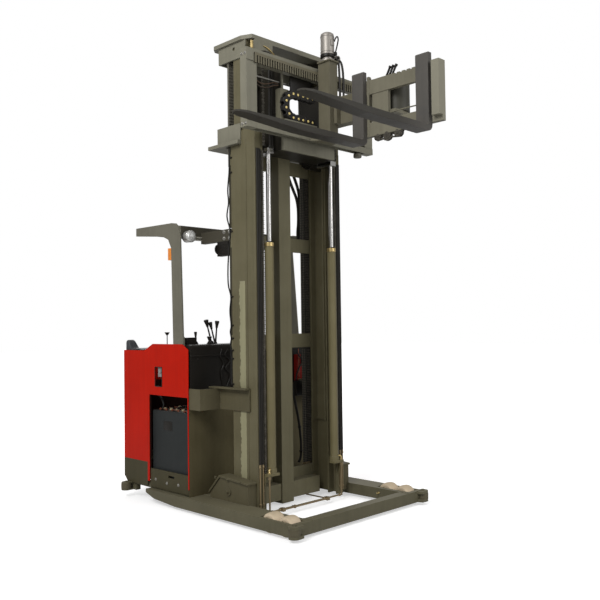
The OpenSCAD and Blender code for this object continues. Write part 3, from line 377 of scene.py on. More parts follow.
# Body: pressed and welded sheet panels in red gloss enamel, with a rubber-edged window on
# the right where the grey switch plate shows, and the olive skirt and front wall below.
# Zone group: fades a colour in by object coordinates, used both for real stains and for painted shade.
zone_stain_and_shade, given, result = new_group("zone_stain_and_shade", (
    ("Paint", "Color", white), ("StainAndShade", "Color", white), ("Start", "Vector", (0.0, 0.0, 0.0)),
    ("Stop", "Vector", (0.0, 0.0, 0.0)), ("Mask", "Float", 1.0),
), (("Colour", "Color"), ("Mask", "Float")))
place = add_node(zone_stain_and_shade, "TexCoord", {}).outputs["Object"]
at, start, stop = (add_node(zone_stain_and_shade, "SeparateXYZ", {0: source}).outputs
                   for source in (place, given["Start"], given["Stop"]))
mask = given["Mask"]
for axis in "XYZ":
    mask = reckon(zone_stain_and_shade, "MULTIPLY", mask, ramp(zone_stain_and_shade, at[axis], start[axis], stop[axis]))
feed(zone_stain_and_shade, result, {"Colour": blend(zone_stain_and_shade, mask, given["Paint"], given["StainAndShade"]), "Mask": mask})
everywhere = (-9.0, -8.0)


# Each zone says between which object coordinates the colour fades in; some zones lay real stains, others painted
# shade.
# An axis it leaves out starts and stops far outside the truck, so it doesn't limit the colour.
def stain_and_shade(look, colour, *zones, mask=1.0):
    tree = look.node_tree
    paint = tree.nodes["Principled BSDF"].inputs["Base Color"]
    under = paint.links[0].from_socket
    for zone in zones:
        start, stop = zip(*(zone.get(axis, everywhere) for axis in "XYZ"))
        made = add_node(tree, "Group", {}, node_tree=zone_stain_and_shade)
        feed(tree, made, {"Paint": under, "StainAndShade": (*colour, 1.0), "Start": start, "Stop": stop, "Mask": mask})
        mask = made.outputs["Mask"]
    tree.links.new(made.outputs["Colour"], paint)


red = enamel("red_enamel", (0.4, 0.008, 0.001), (0.24, 0.02, 0.01), (0.36, 0.016, 0.005), 0.24, 0.25, 0.08, coat=0.05,
    relief=0.05, shine=0.05)
# Painted shade: the body panels' inner faces, inside both side panels, in front of the rear wall's inner face and
# below 1.0 m, go near black as a shaded battery bay.
stain_and_shade(red, (0.022, 0.009, 0.007), {"X": (-0.7175, -0.715), "Y": (1.5315, 1.529), "Z": (1.02, 1.0)},
    {"X": (0.7175, 0.715)})
finish_node("body_panels", red)
skirt_olive = enamel("skirt_olive", (0.05, 0.044, 0.023), (0.18, 0.16, 0.11), (0.075, 0.067, 0.04),
    0.42, 0.4, 0.25, shine=0.1)
wall_olive = enamel("wall_olive", (0.078, 0.066, 0.034), (0.2, 0.18, 0.13), (0.11, 0.096, 0.058),
    0.46, 0.4, 0.28, shine=0.1)
finish_node("front_wall", wall_olive)
for name in ("skirt", "battery_retainer"):
    finish_node(name, skirt_olive)
black_mould = enamel("black_mould", (0.0115, 0.01, 0.008), (0.06, 0.06, 0.06), (0.03, 0.027, 0.023), 0.3, 0.4, 0.16)
edge = bmesh.new()
win = [(0.95, 0.99), (1.05, 0.99), (1.05, 1.153), (0.95, 1.153)]
ring = []
for (y, z), (ty, tz) in zip(win, ((1, 1), (-1, 1), (-1, -1), (1, -1))):
    turn_at = math.atan2(-tz, -ty)
    for k in (-40, -20, 0, 20, 40):
        a = turn_at + math.radians(k)
        ring.append((-0.7206, y + ty * 0.008 + 0.0085 * math.cos(a), z + tz * 0.008 + 0.0085 * math.sin(a)))
tube(edge, ring + [ring[0]], 0.0032, 8)
keep_piece("window_edge", edge, black_mould)
plate_grey = enamel("plate_grey", (0.24, 0.235, 0.23), (0.4, 0.4, 0.4), (0.2, 0.19, 0.17), 0.4, 0.3, 0.3)
plate = bmesh.new()
block(plate, (-0.706, 0.93, 1.07), (-0.694, 1.026, 1.172), 0.002)
block(plate, (-0.7125, 0.92, 1.08), (-0.7, 0.944, 1.155), 0.002)
for y, z in ((0.956, 1.084), (1.014, 1.084), (0.956, 1.146), (1.014, 1.146)):
    turned(plate, (-0.706, y, z), (-1, 0, 0), [(0.006, -0.0005), (0.0058, 0.0015), (0.004, 0.003)], 12)
turned(plate, (-0.706, 0.985, 1.115), (-1, 0, 0), [(0.015, -0.0005), (0.015, 0.004), (0.011, 0.006), (0.011, 0.012),
    (0.009, 0.014)], 24)
keep_piece("switch_plate", plate, plate_grey)

# Console hood, cover and instrument case: black moulded plastic with a fine grain and a
# raised seam strip across the front. The levers stand in small ribbed rubber boots.
for name in ("console", "cover", "levers"):
    finish_node(name, black_mould)
seam = bmesh.new()
block(seam, (-0.7, 0.5765, 1.247), (0.7, 0.5845, 1.258), 0.0025)
for x in (-0.62, -0.36, -0.12, 0.12, 0.36, 0.62):
    turned(seam, (x, 0.5842, 1.225), (0, -1, 0), [(0.008, -0.001), (0.008, 0.002), (0.005, 0.0045)], 14)
keep_piece("hood_seam", seam, black_mould)
lever_foot = 1.345
boots = bmesh.new()
for x, y, size in ((-0.549, 0.7, 0.017), (-0.381, 0.7, 0.017), (-0.345, 0.698, 0.012), (-0.327, 0.716, 0.012),
        (-0.45, 0.644, 0.019)):
    turned(boots, (x, y, lever_foot - 0.0002), (0, 0, 1), [(size * wide, rise)
        for wide, rise in ((1.5, 0.0), (1.5, 0.003), (1.15, 0.004), (1.25, 0.008), (0.95, 0.011), (1.0, 0.015),
        (0.72, 0.018), (0.75, 0.022), (0.42, 0.026))], 20)
keep_piece("lever_boots", boots, black_mould)
curls = bmesh.new()
for way in (
        [(-0.372, 0.578, 1.302), (-0.389, 0.576, 1.243), (-0.357, 0.57, 1.175), (-0.385, 0.574, 1.109),
         (-0.365, 0.577, 0.99)],
        [(-0.306, 0.578, 1.299), (-0.34, 0.574, 1.25), (-0.291, 0.569, 1.197), (-0.336, 0.573, 1.14),
         (-0.287, 0.57, 1.078), (-0.321, 0.577, 0.987)]):
    tube(curls, flowing(way), 0.005, 10)
keep_piece("hood_cables", curls, black_mould, smooth=80.0)
grips = bmesh.new()
for x, y, high, size, lean in ((-0.549, 0.7, 0.1, 0.013, 0.004), (-0.381, 0.7, 0.2, 0.021, 0.06),
        (-0.345, 0.7, 0.18, 0.019, 0.052), (-0.329, 0.714, 0.19, 0.02, -0.02), (-0.45, 0.644, 0.06, 0.022, 0.0)):
    foot, tip = Vector((x, y, lever_foot)), Vector((x - lean, y, lever_foot + high))
    way = (tip - foot).normalized()
    tall = min(0.062, high * 0.6)
    tube(grips, [foot, foot.lerp(tip, 0.5), tip - way * tall * 0.8], [0.008, 0.0068, 0.0062], 12)
    knob = [(size * 0.5, 0.004)] + [(size * wide, tall * rise) for wide, rise in (
        (0.62, 0.35), (0.95, 0.82), (1.0, 0.93), (0.9, 0.99), (0.55, 1.03))]
    turned(grips, tip - way * (tall - 0.004), way, [(size * 0.42, 0.0)] + knob, 24)
keep_piece("lever_grips", grips, black_mould)
case = bmesh.new()
block(case, (-0.651, 0.7138, 1.353), (-0.563, 0.7175, 1.396), 0.0015)
for x in (-0.64, -0.622, -0.604, -0.586):
    turned(case, (x, 0.7172, 1.362), (0, 1, 0), [(0.005, -0.001), (0.005, 0.002), (0.0035, 0.003)], 12)
keep_piece("instrument_face", case, plate_grey)

# Battery: a welded steel tray in slate paint with a folded lip, 24 cells with vent caps and
# copper links, and a blank rating plate on the open side. Three bolts hold the retainer.
slate = enamel("battery_slate", (0.0215, 0.024, 0.024), (0.1, 0.1, 0.1), (0.036, 0.035, 0.032),
    0.4, 0.45, 0.22, shine=0.1)
finish_node("battery", slate)
lip = bmesh.new()
x0, x1, y0, y1, top = -0.684, -0.044, 0.598, 1.138, 0.772
lip_wide, lip_tall = 0.01, 0.009
for xa, xb, ya, yb in ((x0, x0 + lip_wide, y0, y1), (x1 - lip_wide, x1, y0, y1), (x0, x1, y0, y0 + lip_wide),
        (x0, x1, y1 - lip_wide, y1)):
    block(lip, (xa, ya, top), (xb, yb, top + lip_tall), 0.002)
keep_piece("battery_lip", lip, slate)
lids = bmesh.new()
caps = bmesh.new()
links = bmesh.new()
step_x, step_y = 0.152, 0.086
for i in range(4):
    for j in range(6):
        cx, cy = x0 + 0.016 + step_x * (i + 0.5), y0 + 0.012 + step_y * (j + 0.5)
        block(lids, (cx - 0.072, cy - 0.04, top - 0.0005), (cx + 0.072, cy + 0.04, top + 0.01), 0.003)
        turned(caps, (cx, cy, top + 0.0098), (0, 0, 1), [(0.017, 0.0), (0.017, 0.004), (0.014, 0.006), (0.013, 0.013),
            (0.009, 0.015)], 16)
        for d in (-0.05, 0.05):
            turned(links, (cx + d, cy, top + 0.0098), (0, 0, 1),
                [(0.011, 0.0), (0.011, 0.01), (0.007, 0.012), (0.007, 0.016)], 12)
        if j < 5:
            d = 0.05 if j % 2 else -0.05
            block(links, (cx + d - 0.009, cy - 0.006, top + 0.018),
                (cx + d + 0.009, cy + step_y + 0.006, top + 0.023), 0.0015)
keep_piece("battery_lids", lids, black_mould)
cap_look = enamel("vent_caps", (0.42, 0.36, 0.2), (0.5, 0.45, 0.3), (0.3, 0.27, 0.2), 0.45, 0.2, 0.4)
keep_piece("battery_vents", caps, cap_look)
copper = enamel("worn_copper", (0.2, 0.06, 0.03), (0.42, 0.18, 0.1), (0.1, 0.055, 0.035), 0.36, 0.5, 0.4, metal=0.5)
keep_piece("battery_links", links, copper)
sign = bmesh.new()
block(sign, (-0.6862, 0.858, 0.622), (-0.6838, 0.98, 0.698), 0.0008)
for y in (0.866, 0.972):
    for z in (0.629, 0.691):
        turned(sign, (-0.6862, y, z), (-1, 0, 0), [(0.0032, -0.0004), (0.003, 0.0009), (0.0018, 0.0014)], 10)
keep_piece("battery_plate", sign, black_mould)
steel = enamel("plated_steel", (0.34, 0.33, 0.3), (0.55, 0.54, 0.52), (0.2, 0.18, 0.14),
    0.34, 0.5, 0.35, metal=0.85, relief=0.1)
bolts = bmesh.new()
for y, z in ((1.061, 0.2), (0.9, 0.186), (0.739, 0.193)):
    hex_bolt(bolts, (-0.7123, y, z), (-1, 0, 0), 0.013, 0.006)
keep_piece("retainer_bolts", bolts, steel)
cable_black = enamel("cable_black", (0.014, 0.014, 0.013), (0.04, 0.04, 0.04), (0.06, 0.055, 0.045), 0.42, 0.2, 0.3)
riser = bmesh.new()
tube(riser, flowing([(-0.65, 1.046, 0.79), (-0.65, 1.026, 0.826), (-0.65, 1.051, 0.875), (-0.65, 1.098, 0.905),
    (-0.65, 1.131, 0.93)], 7), 0.0075, 12)
keep_piece("battery_riser", riser, cable_black, smooth=80.0)
cable_red = enamel("cable_red", (0.24, 0.018, 0.01), (0.3, 0.04, 0.03), (0.2, 0.06, 0.04), 0.42, 0.2, 0.3)
socket = bmesh.new()
block(socket, (-0.142, 0.752, 0.7815), (-0.082, 0.83, 0.812), 0.004)
for y in (0.775, 0.807):
    turned(socket, (-0.141, y, 0.797), (-1, 0, 0), [(0.012, 0.0), (0.012, 0.008), (0.0095, 0.016)], 16)
keep_piece("battery_socket", socket, plate_grey)
lead_thick = 0.015
for name, y, y_end, look in (
        ("battery_lead_red", 0.7, 0.775, cable_red), ("battery_lead_black", 0.872, 0.807, cable_black)):
    way = flowing([
        (-0.618, y, 0.8), (-0.6, y, 0.808), (-0.57, y, 0.811), (-0.5, y + 0.012, 0.809),
        (-0.4, y + 0.018, 0.8075), (-0.3, (y + y_end) / 2, 0.8075), (-0.215, y_end, 0.806),
        (-0.175, y_end, 0.801), (-0.15, y_end, 0.797)], 6)
    lead = bmesh.new()
    tube(lead, way, lead_thick / 2, 12)
    lead_piece = keep_piece(name, lead, look, smooth=80.0)

# Back pad and foot mat: a moulded vinyl pad along the rear edge, low in the middle and raised
# into a rounded bolster at each end with a sewn seam, and a studded rubber mat on the step.
grey_pad = enamel("grey_vinyl", (0.04, 0.042, 0.046), (0.16, 0.16, 0.16), (0.075, 0.074, 0.07),
    0.36, 0.2, 0.3, relief=0.4)
pad_low, pad_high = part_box("back_pad")
bolster = [(1.0, 0.0), (0.985, 0.3), (0.975, 0.6), (0.985, 0.8), (0.955, 0.92), (0.89, 0.985), (0.8, 1.0),
    (0.69, 0.975), (0.59, 0.9), (0.5, 0.77), (0.43, 0.61), (0.37, 0.44), (0.3, 0.29), (0.21, 0.18), (0.11, 0.115),
    (0.03, 0.085), (0.0, 0.04), (0.0, 0.0), (0.33, 0.0), (0.66, 0.0)]
pad = bmesh.new()
rings = []
pad_long = pad_high[0] - pad_low[0]
stations = [0.0, 0.002, 0.006, 0.012, 0.02, 0.024, 0.0275, 0.029, 0.0305, 0.034, 0.04, 0.046, 0.052, 0.06, 0.068,
    0.076, 0.085, 0.1, 0.13, 0.18, 0.25, 0.33, 0.41]
stations = stations + [0.5] + [1.0 - t for t in reversed(stations)]
for t in stations:
    near = min(t, 1.0 - t)
    round_in = math.sqrt(max(0.0, 1.0 - max(0.0, (0.014 - near) / 0.014) ** 2))
    fall = min(1.0, max(0.0, (near - 0.046) / 0.036))
    rise = 1.0 - (fall * fall * (3.0 - 2.0 * fall)) * 0.86
    groove = 0.955 if abs(near - 0.029) < 0.0004 else 1.0
    ring = []
    for k, (v, u) in enumerate(bolster):
        tuck = (0.8 + 0.2 * round_in) * groove
        v = 0.5 + (v - 0.5) * tuck
        u = u * (0.72 + 0.28 * round_in) * groove * rise
        u += 0.012 * math.sin(t * 90.0 + k * 1.7) * min(1.0, u * 3.0) * (1.0 - fall)
        y, z = (pad_low[a] + (pad_high[a] - pad_low[a]) * min(1.0, max(0.0, share)) for a, share in ((1, v), (2, u)))
        ring.append(pad.verts.new((pad_low[0] + pad_long * t, y, z)))
    rings.append(ring)
skin(pad, rings)
pad_piece = keep_piece("back_cushion", pad, grey_pad, smooth=60.0)
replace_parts(pad_piece, "back_pad")
mat_rubber = enamel("mat_rubber", (0.02, 0.02, 0.02), (0.05, 0.05, 0.05), (0.09, 0.08, 0.07), 0.72, 0.2, 0.5)
finish_node("foot_mat", mat_rubber)
mat_low, mat_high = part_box("foot_mat")
studs = bmesh.new()
stud_step = 0.032
for i in range(int((mat_high[0] - mat_low[0]) / stud_step) - 1):
    for j in range(int((mat_high[1] - mat_low[1]) / stud_step) - 1):
        x = mat_low[0] + stud_step * (i + 1) + (0.008 if j % 2 else -0.008)
        turned(studs, (x, mat_low[1] + stud_step * (j + 1), mat_high[2] - 0.0003), (0, 0, 1),
            [(0.009, 0.0), (0.0085, 0.002), (0.006, 0.003)], 8)
keep_piece("mat_studs", studs, mat_rubber)

# Overhead guard: cut plate posts and roof bars in grey-olive, bolted to the mast brackets.
# The lettering that the photograph shows on the post is left off, so the plate is bare.
guard_olive = enamel("guard_olive", (0.125, 0.118, 0.09), (0.3, 0.29, 0.25), (0.165, 0.158, 0.125),
    0.36, 0.4, 0.22, shine=0.14)
# Painted shade: the guard is painted darker inboard of its outer side face (x above -0.698) and forward of y 0.738,
# so its front and inner faces look shaded.
stain_and_shade(guard_olive, (0.052, 0.047, 0.034), {"X": (-0.706, -0.698), "Y": (0.76, 0.738)})
finish_node("overhead_guard", guard_olive)
grey_light = enamel("strip_grey", (0.3, 0.285, 0.235), (0.45, 0.43, 0.38), (0.25, 0.235, 0.19), 0.4, 0.3, 0.3)
guard_bolts = bmesh.new()
for s in (-1, 1):
    for y in (0.325, 0.395):
        for z in (2.212, 2.264):
            hex_bolt(guard_bolts, (s * 0.4858, y, z), (s, 0, 0), 0.017, 0.009)
keep_piece("guard_bolts", guard_bolts, steel)
strips = bmesh.new()
for z in (2.2448, 2.218):
    block(strips, (-0.63, 0.686, z - 0.0035), (0.6, 0.6905, z + 0.0035), 0.0012)
keep_piece("guard_strips", strips, grey_light)
guard_beads = bmesh.new()
weld_both(guard_beads, *((x, 0.6905, 2.19, x, 0.6905, 2.283) for x in (0.486, 0.44)))
keep_piece("guard_welds", guard_beads, guard_olive)

# Lamps: a round silver work lamp with a pressed reflector behind fluted glass, a black box
# lamp on the mast bracket, and a ribbed amber marker on the post.
silver = enamel("lamp_silver", (0.52, 0.51, 0.48), (0.75, 0.75, 0.74), (0.36, 0.34, 0.3),
    0.26, 0.3, 0.2, metal=0.8, relief=0.1)
finish_node("work_lamps", black_mould)
lamp_rim = bmesh.new()
lamp_at = (-0.646, 0.63, 2.24)
turned(lamp_rim, lamp_at, (0, 1, 0), [(0.046, -0.004), (0.0505, -0.002), (0.0505, 0.01), (0.049, 0.012),
    (0.049, 0.04), (0.046, 0.062), (0.036, 0.076), (0.02, 0.083), (0.01, 0.084)], 40)
for k in range(3):
    a = math.radians(90 + 120 * k)
    turned(lamp_rim, (lamp_at[0] + 0.0478 * math.cos(a), 0.6262, lamp_at[2] + 0.0478 * math.sin(a)), (0, -1, 0),
        [(0.003, 0.0), (0.003, 0.002), (0.0018, 0.003)], 10)
keep_piece("work_lamp_shell", lamp_rim, silver)
glass = enamel("fluted_glass", (0.62, 0.62, 0.6), (0.8, 0.8, 0.8), (0.45, 0.43, 0.38), 0.1, 0.1, 0.12, coat=1.0,
    metal=0.35, relief=0.1)
lens = bmesh.new()
turned(lens, lamp_at, (0, -1, 0), [(0.0455, 0.002), (0.0445, 0.0055), (0.036, 0.009), (0.024, 0.0112), (0.01, 0.0122),
    (0.002, 0.0124)], 40)
for x in (k * 0.0095 for k in range(-4, 5)):
    reach = math.sqrt(max(0.0, 0.043 ** 2 - x ** 2))
    rim = []
    for z in (t * reach for t in (-0.96, -0.7, -0.4, 0.0, 0.4, 0.7, 0.96)):
        bulge = 0.0088 * (1.0 - x ** 2 / 0.0021 - z ** 2 / 0.0021)
        rim.append((lamp_at[0] + x, lamp_at[1] - 0.0026 - bulge, lamp_at[2] + z))
    tube(lens, rim, 0.0022, 6)
keep_piece("work_lamp_lens", lens, glass)
box_rim = bmesh.new()
turned(box_rim, (-0.463, 0.4836, 2.13), (0, 1, 0), [(0.044, -0.001), (0.044, 0.01), (0.04, 0.013), (0.036, 0.013),
    (0.034, 0.008), (0.01, 0.01)], 32)
for z in (2.088, 2.106, 2.124, 2.142, 2.16):
    block(box_rim, (-0.4885, 0.36, z), (-0.4855, 0.47, z + 0.005), 0.001)
keep_piece("box_lamp_rim", box_rim, black_mould)
amber = enamel("amber_lens", (0.74, 0.235, 0.02), (0.85, 0.35, 0.05), (0.45, 0.22, 0.08), 0.22, 0.1, 0.15, coat=0.6)
finish_node("marker_lamp", amber)
ribs = bmesh.new()
for i in range(9):
    z = 2.058 + i * 0.0105
    block(ribs, (-0.7195, 0.8035, z), (-0.685, 0.8525, z + 0.005), 0.0012)
keep_piece("marker_ribs", ribs, amber)

# Fixed mast: rolled channel and welded plate in olive, with weld beads where ties and rails
# meet. The right rail keeps a pale brushed strip, and a cable is clipped along its rear edge.
olive = enamel("olive_paint", (0.101, 0.089, 0.049), (0.28, 0.26, 0.2), (0.17, 0.155, 0.108), 0.4, 0.42, 0.3)
column_olive = enamel("column_olive", (0.136, 0.123, 0.073), (0.28, 0.26, 0.2), (0.17, 0.155, 0.108), 0.42, 0.42, 0.3)
tube_olive = enamel("tube_olive", (0.126, 0.108, 0.054), (0.28, 0.26, 0.2), (0.19, 0.17, 0.112), 0.34, 0.42, 0.25)
stay_olive = enamel("stay_olive", (0.08, 0.07, 0.04), (0.24, 0.22, 0.16), (0.115, 0.102, 0.066),
    0.4, 0.42, 0.28, shine=0.12)
finish_node("fixed_rails", olive)
finish_node("lift_tubes", tube_olive)
finish_node("mast_stays", stay_olive)
finish_node("centre_column", column_olive)
grey_olive = enamel("grey_olive", (0.165, 0.157, 0.118), (0.34, 0.33, 0.28), (0.22, 0.21, 0.165), 0.36, 0.42, 0.25)
finish_node("fixed_crosshead", grey_olive)
mast_beads = bmesh.new()
for z0, z1 in ((0.115, 0.27), (1.3, 1.42), (2.13, 2.25), (2.8, 2.92)):
    weld_both(mast_beads, *((x, 0.2935, z0, x, 0.2935, z1) for x in (0.0675, 0.4095)))
weld_both(mast_beads, *((x, 0.1895, 0.044, x, 0.1895, 0.18) for x in (0.0675, 0.392)))
weld_both(mast_beads, (0.4905, 0.166, 2.981, 0.4905, 0.292, 2.981), (0.4905, 0.003, 0.1155, 0.4905, 0.018, 0.1155))
keep_piece("mast_welds", mast_beads, olive)
rail_face = 0.4899
lips = bmesh.new()
for s in (-1, 1):
    for reach, y_low, y_high, z_low, z_high, soft in ((0.4945, 0.0005, 0.022, 0.118, 2.978, 0.0015),
            (0.493, 0.106, 0.112, 0.285, 0.815, 0.001), (0.493, 0.106, 0.112, 0.995, 2.978, 0.001)):
        x_low, x_high = sorted((s * rail_face, s * reach))
        block(lips, (x_low, y_low, z_low), (x_high, y_high, z_high), soft)
keep_piece("rail_lips", lips, olive)
duct_look = enamel("duct_olive", (0.04, 0.036, 0.024), (0.16, 0.15, 0.11), (0.06, 0.054, 0.038),
    0.44, 0.4, 0.25, shine=0.1)
duct = bmesh.new()
for z_low, z_high in ((1.02, 2.184), (2.29, 2.975)):
    block(duct, (-0.4895, 0.2945, z_low), (-0.464, 0.322, z_high), 0.002)
keep_piece("cable_duct", duct, duct_look)
strip_look = enamel("brushed_strip", (0.245, 0.232, 0.14), (0.34, 0.33, 0.24), (0.16, 0.145, 0.09),
    0.48, 0.2, 0.55, relief=0.5)
strip_face, strip_step = 0.4908, 0.008
strip = bmesh.new()
for z_low, z_high in ((0.285, 0.818), (0.992, 1.851)):
    count = int((z_high - z_low) / strip_step)
    rows = []
    for i in range(count + 1):
        z = z_low + (z_high - z_low) * i / count
        ragged = 0.0045 * math.sin(z * 61.0) + 0.0035 * math.sin(z * 173.0 + 1.0) + 0.003 * math.sin(z * 19.0)
        left, right = 0.203 + ragged, 0.1335 + 0.0007 * math.sin(z * 90.0)
        corners = ((strip_face, right), (strip_face, left), (rail_face, left), (rail_face, right))
        rows.append([strip.verts.new((-x, y, z)) for x, y in corners])
    skin(strip, rows)
keep_piece("rail_strip", strip, strip_look)
cable_x = -0.4955
sway = [(cable_x, y, z) for y, z in (
    (0.312, 2.74), (0.33, 2.6), (0.322, 2.496), (0.343, 2.384), (0.305, 2.26), (0.322, 2.12),
    (0.337, 1.97), (0.335, 1.83), (0.305, 1.731), (0.318, 1.615), (0.305, 1.5), (0.316, 1.448),
    (0.305, 1.396), (0.314, 1.348), (0.305, 1.3), (0.311, 1.266), (0.305, 1.232), (0.308, 1.14))]
wire = [(-0.495, 0.296, 2.93), (-0.4952, 0.305, 2.86)] + sway + [(-0.495, 0.304, 1.02)]
cable = bmesh.new()
tube(cable, flowing(wire, 5), 0.0058, 8)
keep_piece("mast_edge_cable", cable, cable_black, smooth=80.0)
clips = bmesh.new()
for z in (2.86, 2.74, 2.26, 1.731, 1.5, 1.396, 1.3, 1.232, 1.03):
    block(clips, (-0.5012, 0.278, z - 0.005), (-0.4895, 0.296, z + 0.005), 0.0015)
    loop = [(cable_x + 0.0056 * math.cos(a), 0.303 + 0.0075 * math.sin(a), z)
        for a in (math.pi * k / 7 for k in range(15))]
    tube(clips, loop, 0.0022, 6)
keep_piece("cable_clips", clips, black_mould)

# Stays and feet: welded plate brackets beside the rails, each bolted to its foot with three
# hex screws, with a capped boss in the gusset below them.
foot_bolts = bmesh.new()
for s in (-1, 1):
    for y in (0.1, 0.25, 0.4):
        hex_bolt(foot_bolts, (s * 0.597, y, 0.285), (s, 0, 0), 0.013, 0.006)
    turned(foot_bolts, (s * 0.5925, 0.25, 0.19), (s, 0, 0), [(0.014, 0.0), (0.014, 0.004), (0.009, 0.006),
        (0.009, 0.012), (0.006, 0.013)], 20)
keep_piece("foot_bolts", foot_bolts, stay_olive)

# Lift cylinders: painted tubes with zinc-yellow gland nuts, black wipers and chromed rods,
# fed through an elbow at the foot of each tube.
finish_node("glands", zinc)
chrome = enamel("polished_rod", (0.5, 0.49, 0.475), (0.62, 0.61, 0.6), (0.4, 0.38, 0.35),
    0.16, 0.02, 0.1, metal=1.0, relief=0.0)
finish_node("lift_rods", chrome)
tube_x, tube_y = 0.365, -0.015
wipers = bmesh.new()
ports = bmesh.new()
for s in (-1, 1):
    turned(wipers, (s * tube_x, tube_y, 2.1495), (0, 0, 1), [(0.03, 0.0), (0.03, 0.004), (0.024, 0.009),
        (0.0212, 0.011)], 28)
    turned(ports, (s * 0.417, -0.045, 0.3402), (0, 0, 1), [(0.012, 0.0), (0.012, 0.012), (0.009, 0.013),
        (0.009, 0.016)], 6)
    bend = [(s * 0.417, -0.045, 0.352)]
    for a in (math.radians(k) for k in (0, 22, 45, 67, 90)):
        inward = 1 - math.cos(a)
        bend.append((s * (0.417 - 0.016 * inward), -0.045 + 0.012 * inward, 0.36 + 0.017 * math.sin(a)))
    tube(ports, bend + [(s * 0.392, -0.027, 0.377)], 0.0078, 12)
    turned(ports, (s * 0.3965, -0.03, 0.377), (-s, 0.6, 0), [(0.0115, 0.0), (0.0115, 0.008), (0.0095, 0.009)], 6)
keep_piece("rod_wipers", wipers, black_mould)
keep_piece("tube_elbows", ports, zinc)

# Hydraulic pipes: zinc-yellow steel tube across the floor between the cylinders, with
# compression nuts at each joint and a bleed screw near the middle.
pipe_zinc = enamel("pipe_zinc", (0.27, 0.205, 0.115), (0.5, 0.42, 0.28), (0.15, 0.115, 0.07),
    0.3, 0.5, 0.35, metal=0.7, relief=0.1)
finish_node("pipes", pipe_zinc)
nuts = bmesh.new()
pipe_y, pipe_z = -0.045, 0.046
for x, way in ((-0.4, 1), (-0.304, -1), (-0.273, 1), (0.209, -1), (0.24, 1), (0.4, -1)):
    turned(nuts, (x, pipe_y, pipe_z), (way, 0, 0), [(0.0115, 0.0), (0.0125, 0.002), (0.0125, 0.013), (0.0085, 0.016)],
        6)
for x in (-0.479, -0.447, 0.447, 0.479):
    turned(nuts, (x, -0.0063, 0.384), (0, 0, 1), [(0.0085, 0.0), (0.0098, 0.002), (0.0098, 0.017), (0.008, 0.019),
        (0.008, 0.028)], 6)
    turned(nuts, (x, -0.0063, 0.1), (0, 0, 1), [(0.0085, 0.0), (0.0098, 0.002), (0.0098, 0.015), (0.008, 0.017)], 6)
turned(nuts, (-0.162, -0.063, 0.052), (0, 0, 1), [(0.006, 0.0), (0.006, 0.01), (0.004, 0.012)], 12)
keep_piece("pipe_nuts", nuts, pipe_zinc)

# Hoses and leaf chains: black hoses clamped to the front of each rail, and a leaf chain
# of stacked steel plates on riveted pins beside each lift cylinder.
def leaf_chain(shape, middle, z_low, z_high, pitch, bulge, layers, pin_y, pin_radius, pin_long):
    corners = [math.radians(k) for k in (200, 240, 300, 340)]
    ends = [(0.0125 * math.cos(a), bulge * math.sin(a)) for a in corners]
    foot = bulge + 0.0001
    rim = ([(x, foot + q) for x, q in ends] + [(0.0095, pitch / 2)]
           + [(-x, pitch - foot - q) for x, q in ends] + [(-0.0095, pitch / 2)])
    for i in range(int(round((z_high - z_low) / pitch))):
        z = z_low + pitch * i
        for pair in layers[i % 2]:
            skin(shape, [[shape.verts.new((middle + x, y, min(max(z + q, z_low), z_high))) for x, q in rim]
                for y in pair])
        pin = [(pin_radius, 0.0), (pin_radius, pin_long), (0.0028, pin_long + 0.001)]
        turned(shape, (middle, pin_y, z + pitch / 2), (0, -1, 0), pin, 8)


hose_black, ribbed = (enamel(name, (0.017, 0.0155, 0.013), (0.05, 0.05, 0.05), (0.055, 0.05, 0.04), 0.42, 0.3, 0.25)
                      for name in ("hose_black", "hose_band"))
tree = ribbed.node_tree
at = add_node(tree, "SeparateXYZ", {0: add_node(tree, "TexCoord", {}).outputs["Object"]}).outputs
waves = []
for axis, step, over in (("Z", 0.015, 0.1), ("X", 0.0135, -0.2)):
    wave = reckon(tree, "SINE", reckon(tree, "MULTIPLY", at[axis], 2 * math.pi / step))
    waves.append(reckon(tree, "GREATER_THAN", wave, over))
stain_and_shade(ribbed, (0.095, 0.086, 0.066), {"Y": (0.15, 0.2)}, mask=reckon(tree, "MULTIPLY", *waves))
finish_node("mast_cable", ribbed)
chain_grey = enamel("lift_chain_grey", (0.105, 0.098, 0.078), (0.34, 0.33, 0.29), (0.13, 0.12, 0.095), 0.4, 0.6, 0.4)
finish_node("lift_chains", chain_grey)
chain_oil = enamel("chain_oil", (0.052, 0.047, 0.037), (0.26, 0.24, 0.2), (0.06, 0.053, 0.041),
    0.4, 0.7, 0.3, relief=0.1)
chain = bmesh.new()
chain_low, chain_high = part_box("front_chains")
chain_x = 0.422
for s in (-1, 1):
    leaf_chain(chain, s * chain_x, chain_low[2], chain_high[2], 0.0158, 0.0076,
        (((-0.0096, -0.0066), (-0.0038, -0.001)), ((-0.0123, -0.0098), (-0.0064, -0.004))), -0.0004, 0.0044, 0.0122)
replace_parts(keep_piece("leaf_chains", chain, chain_oil), "front_chains")

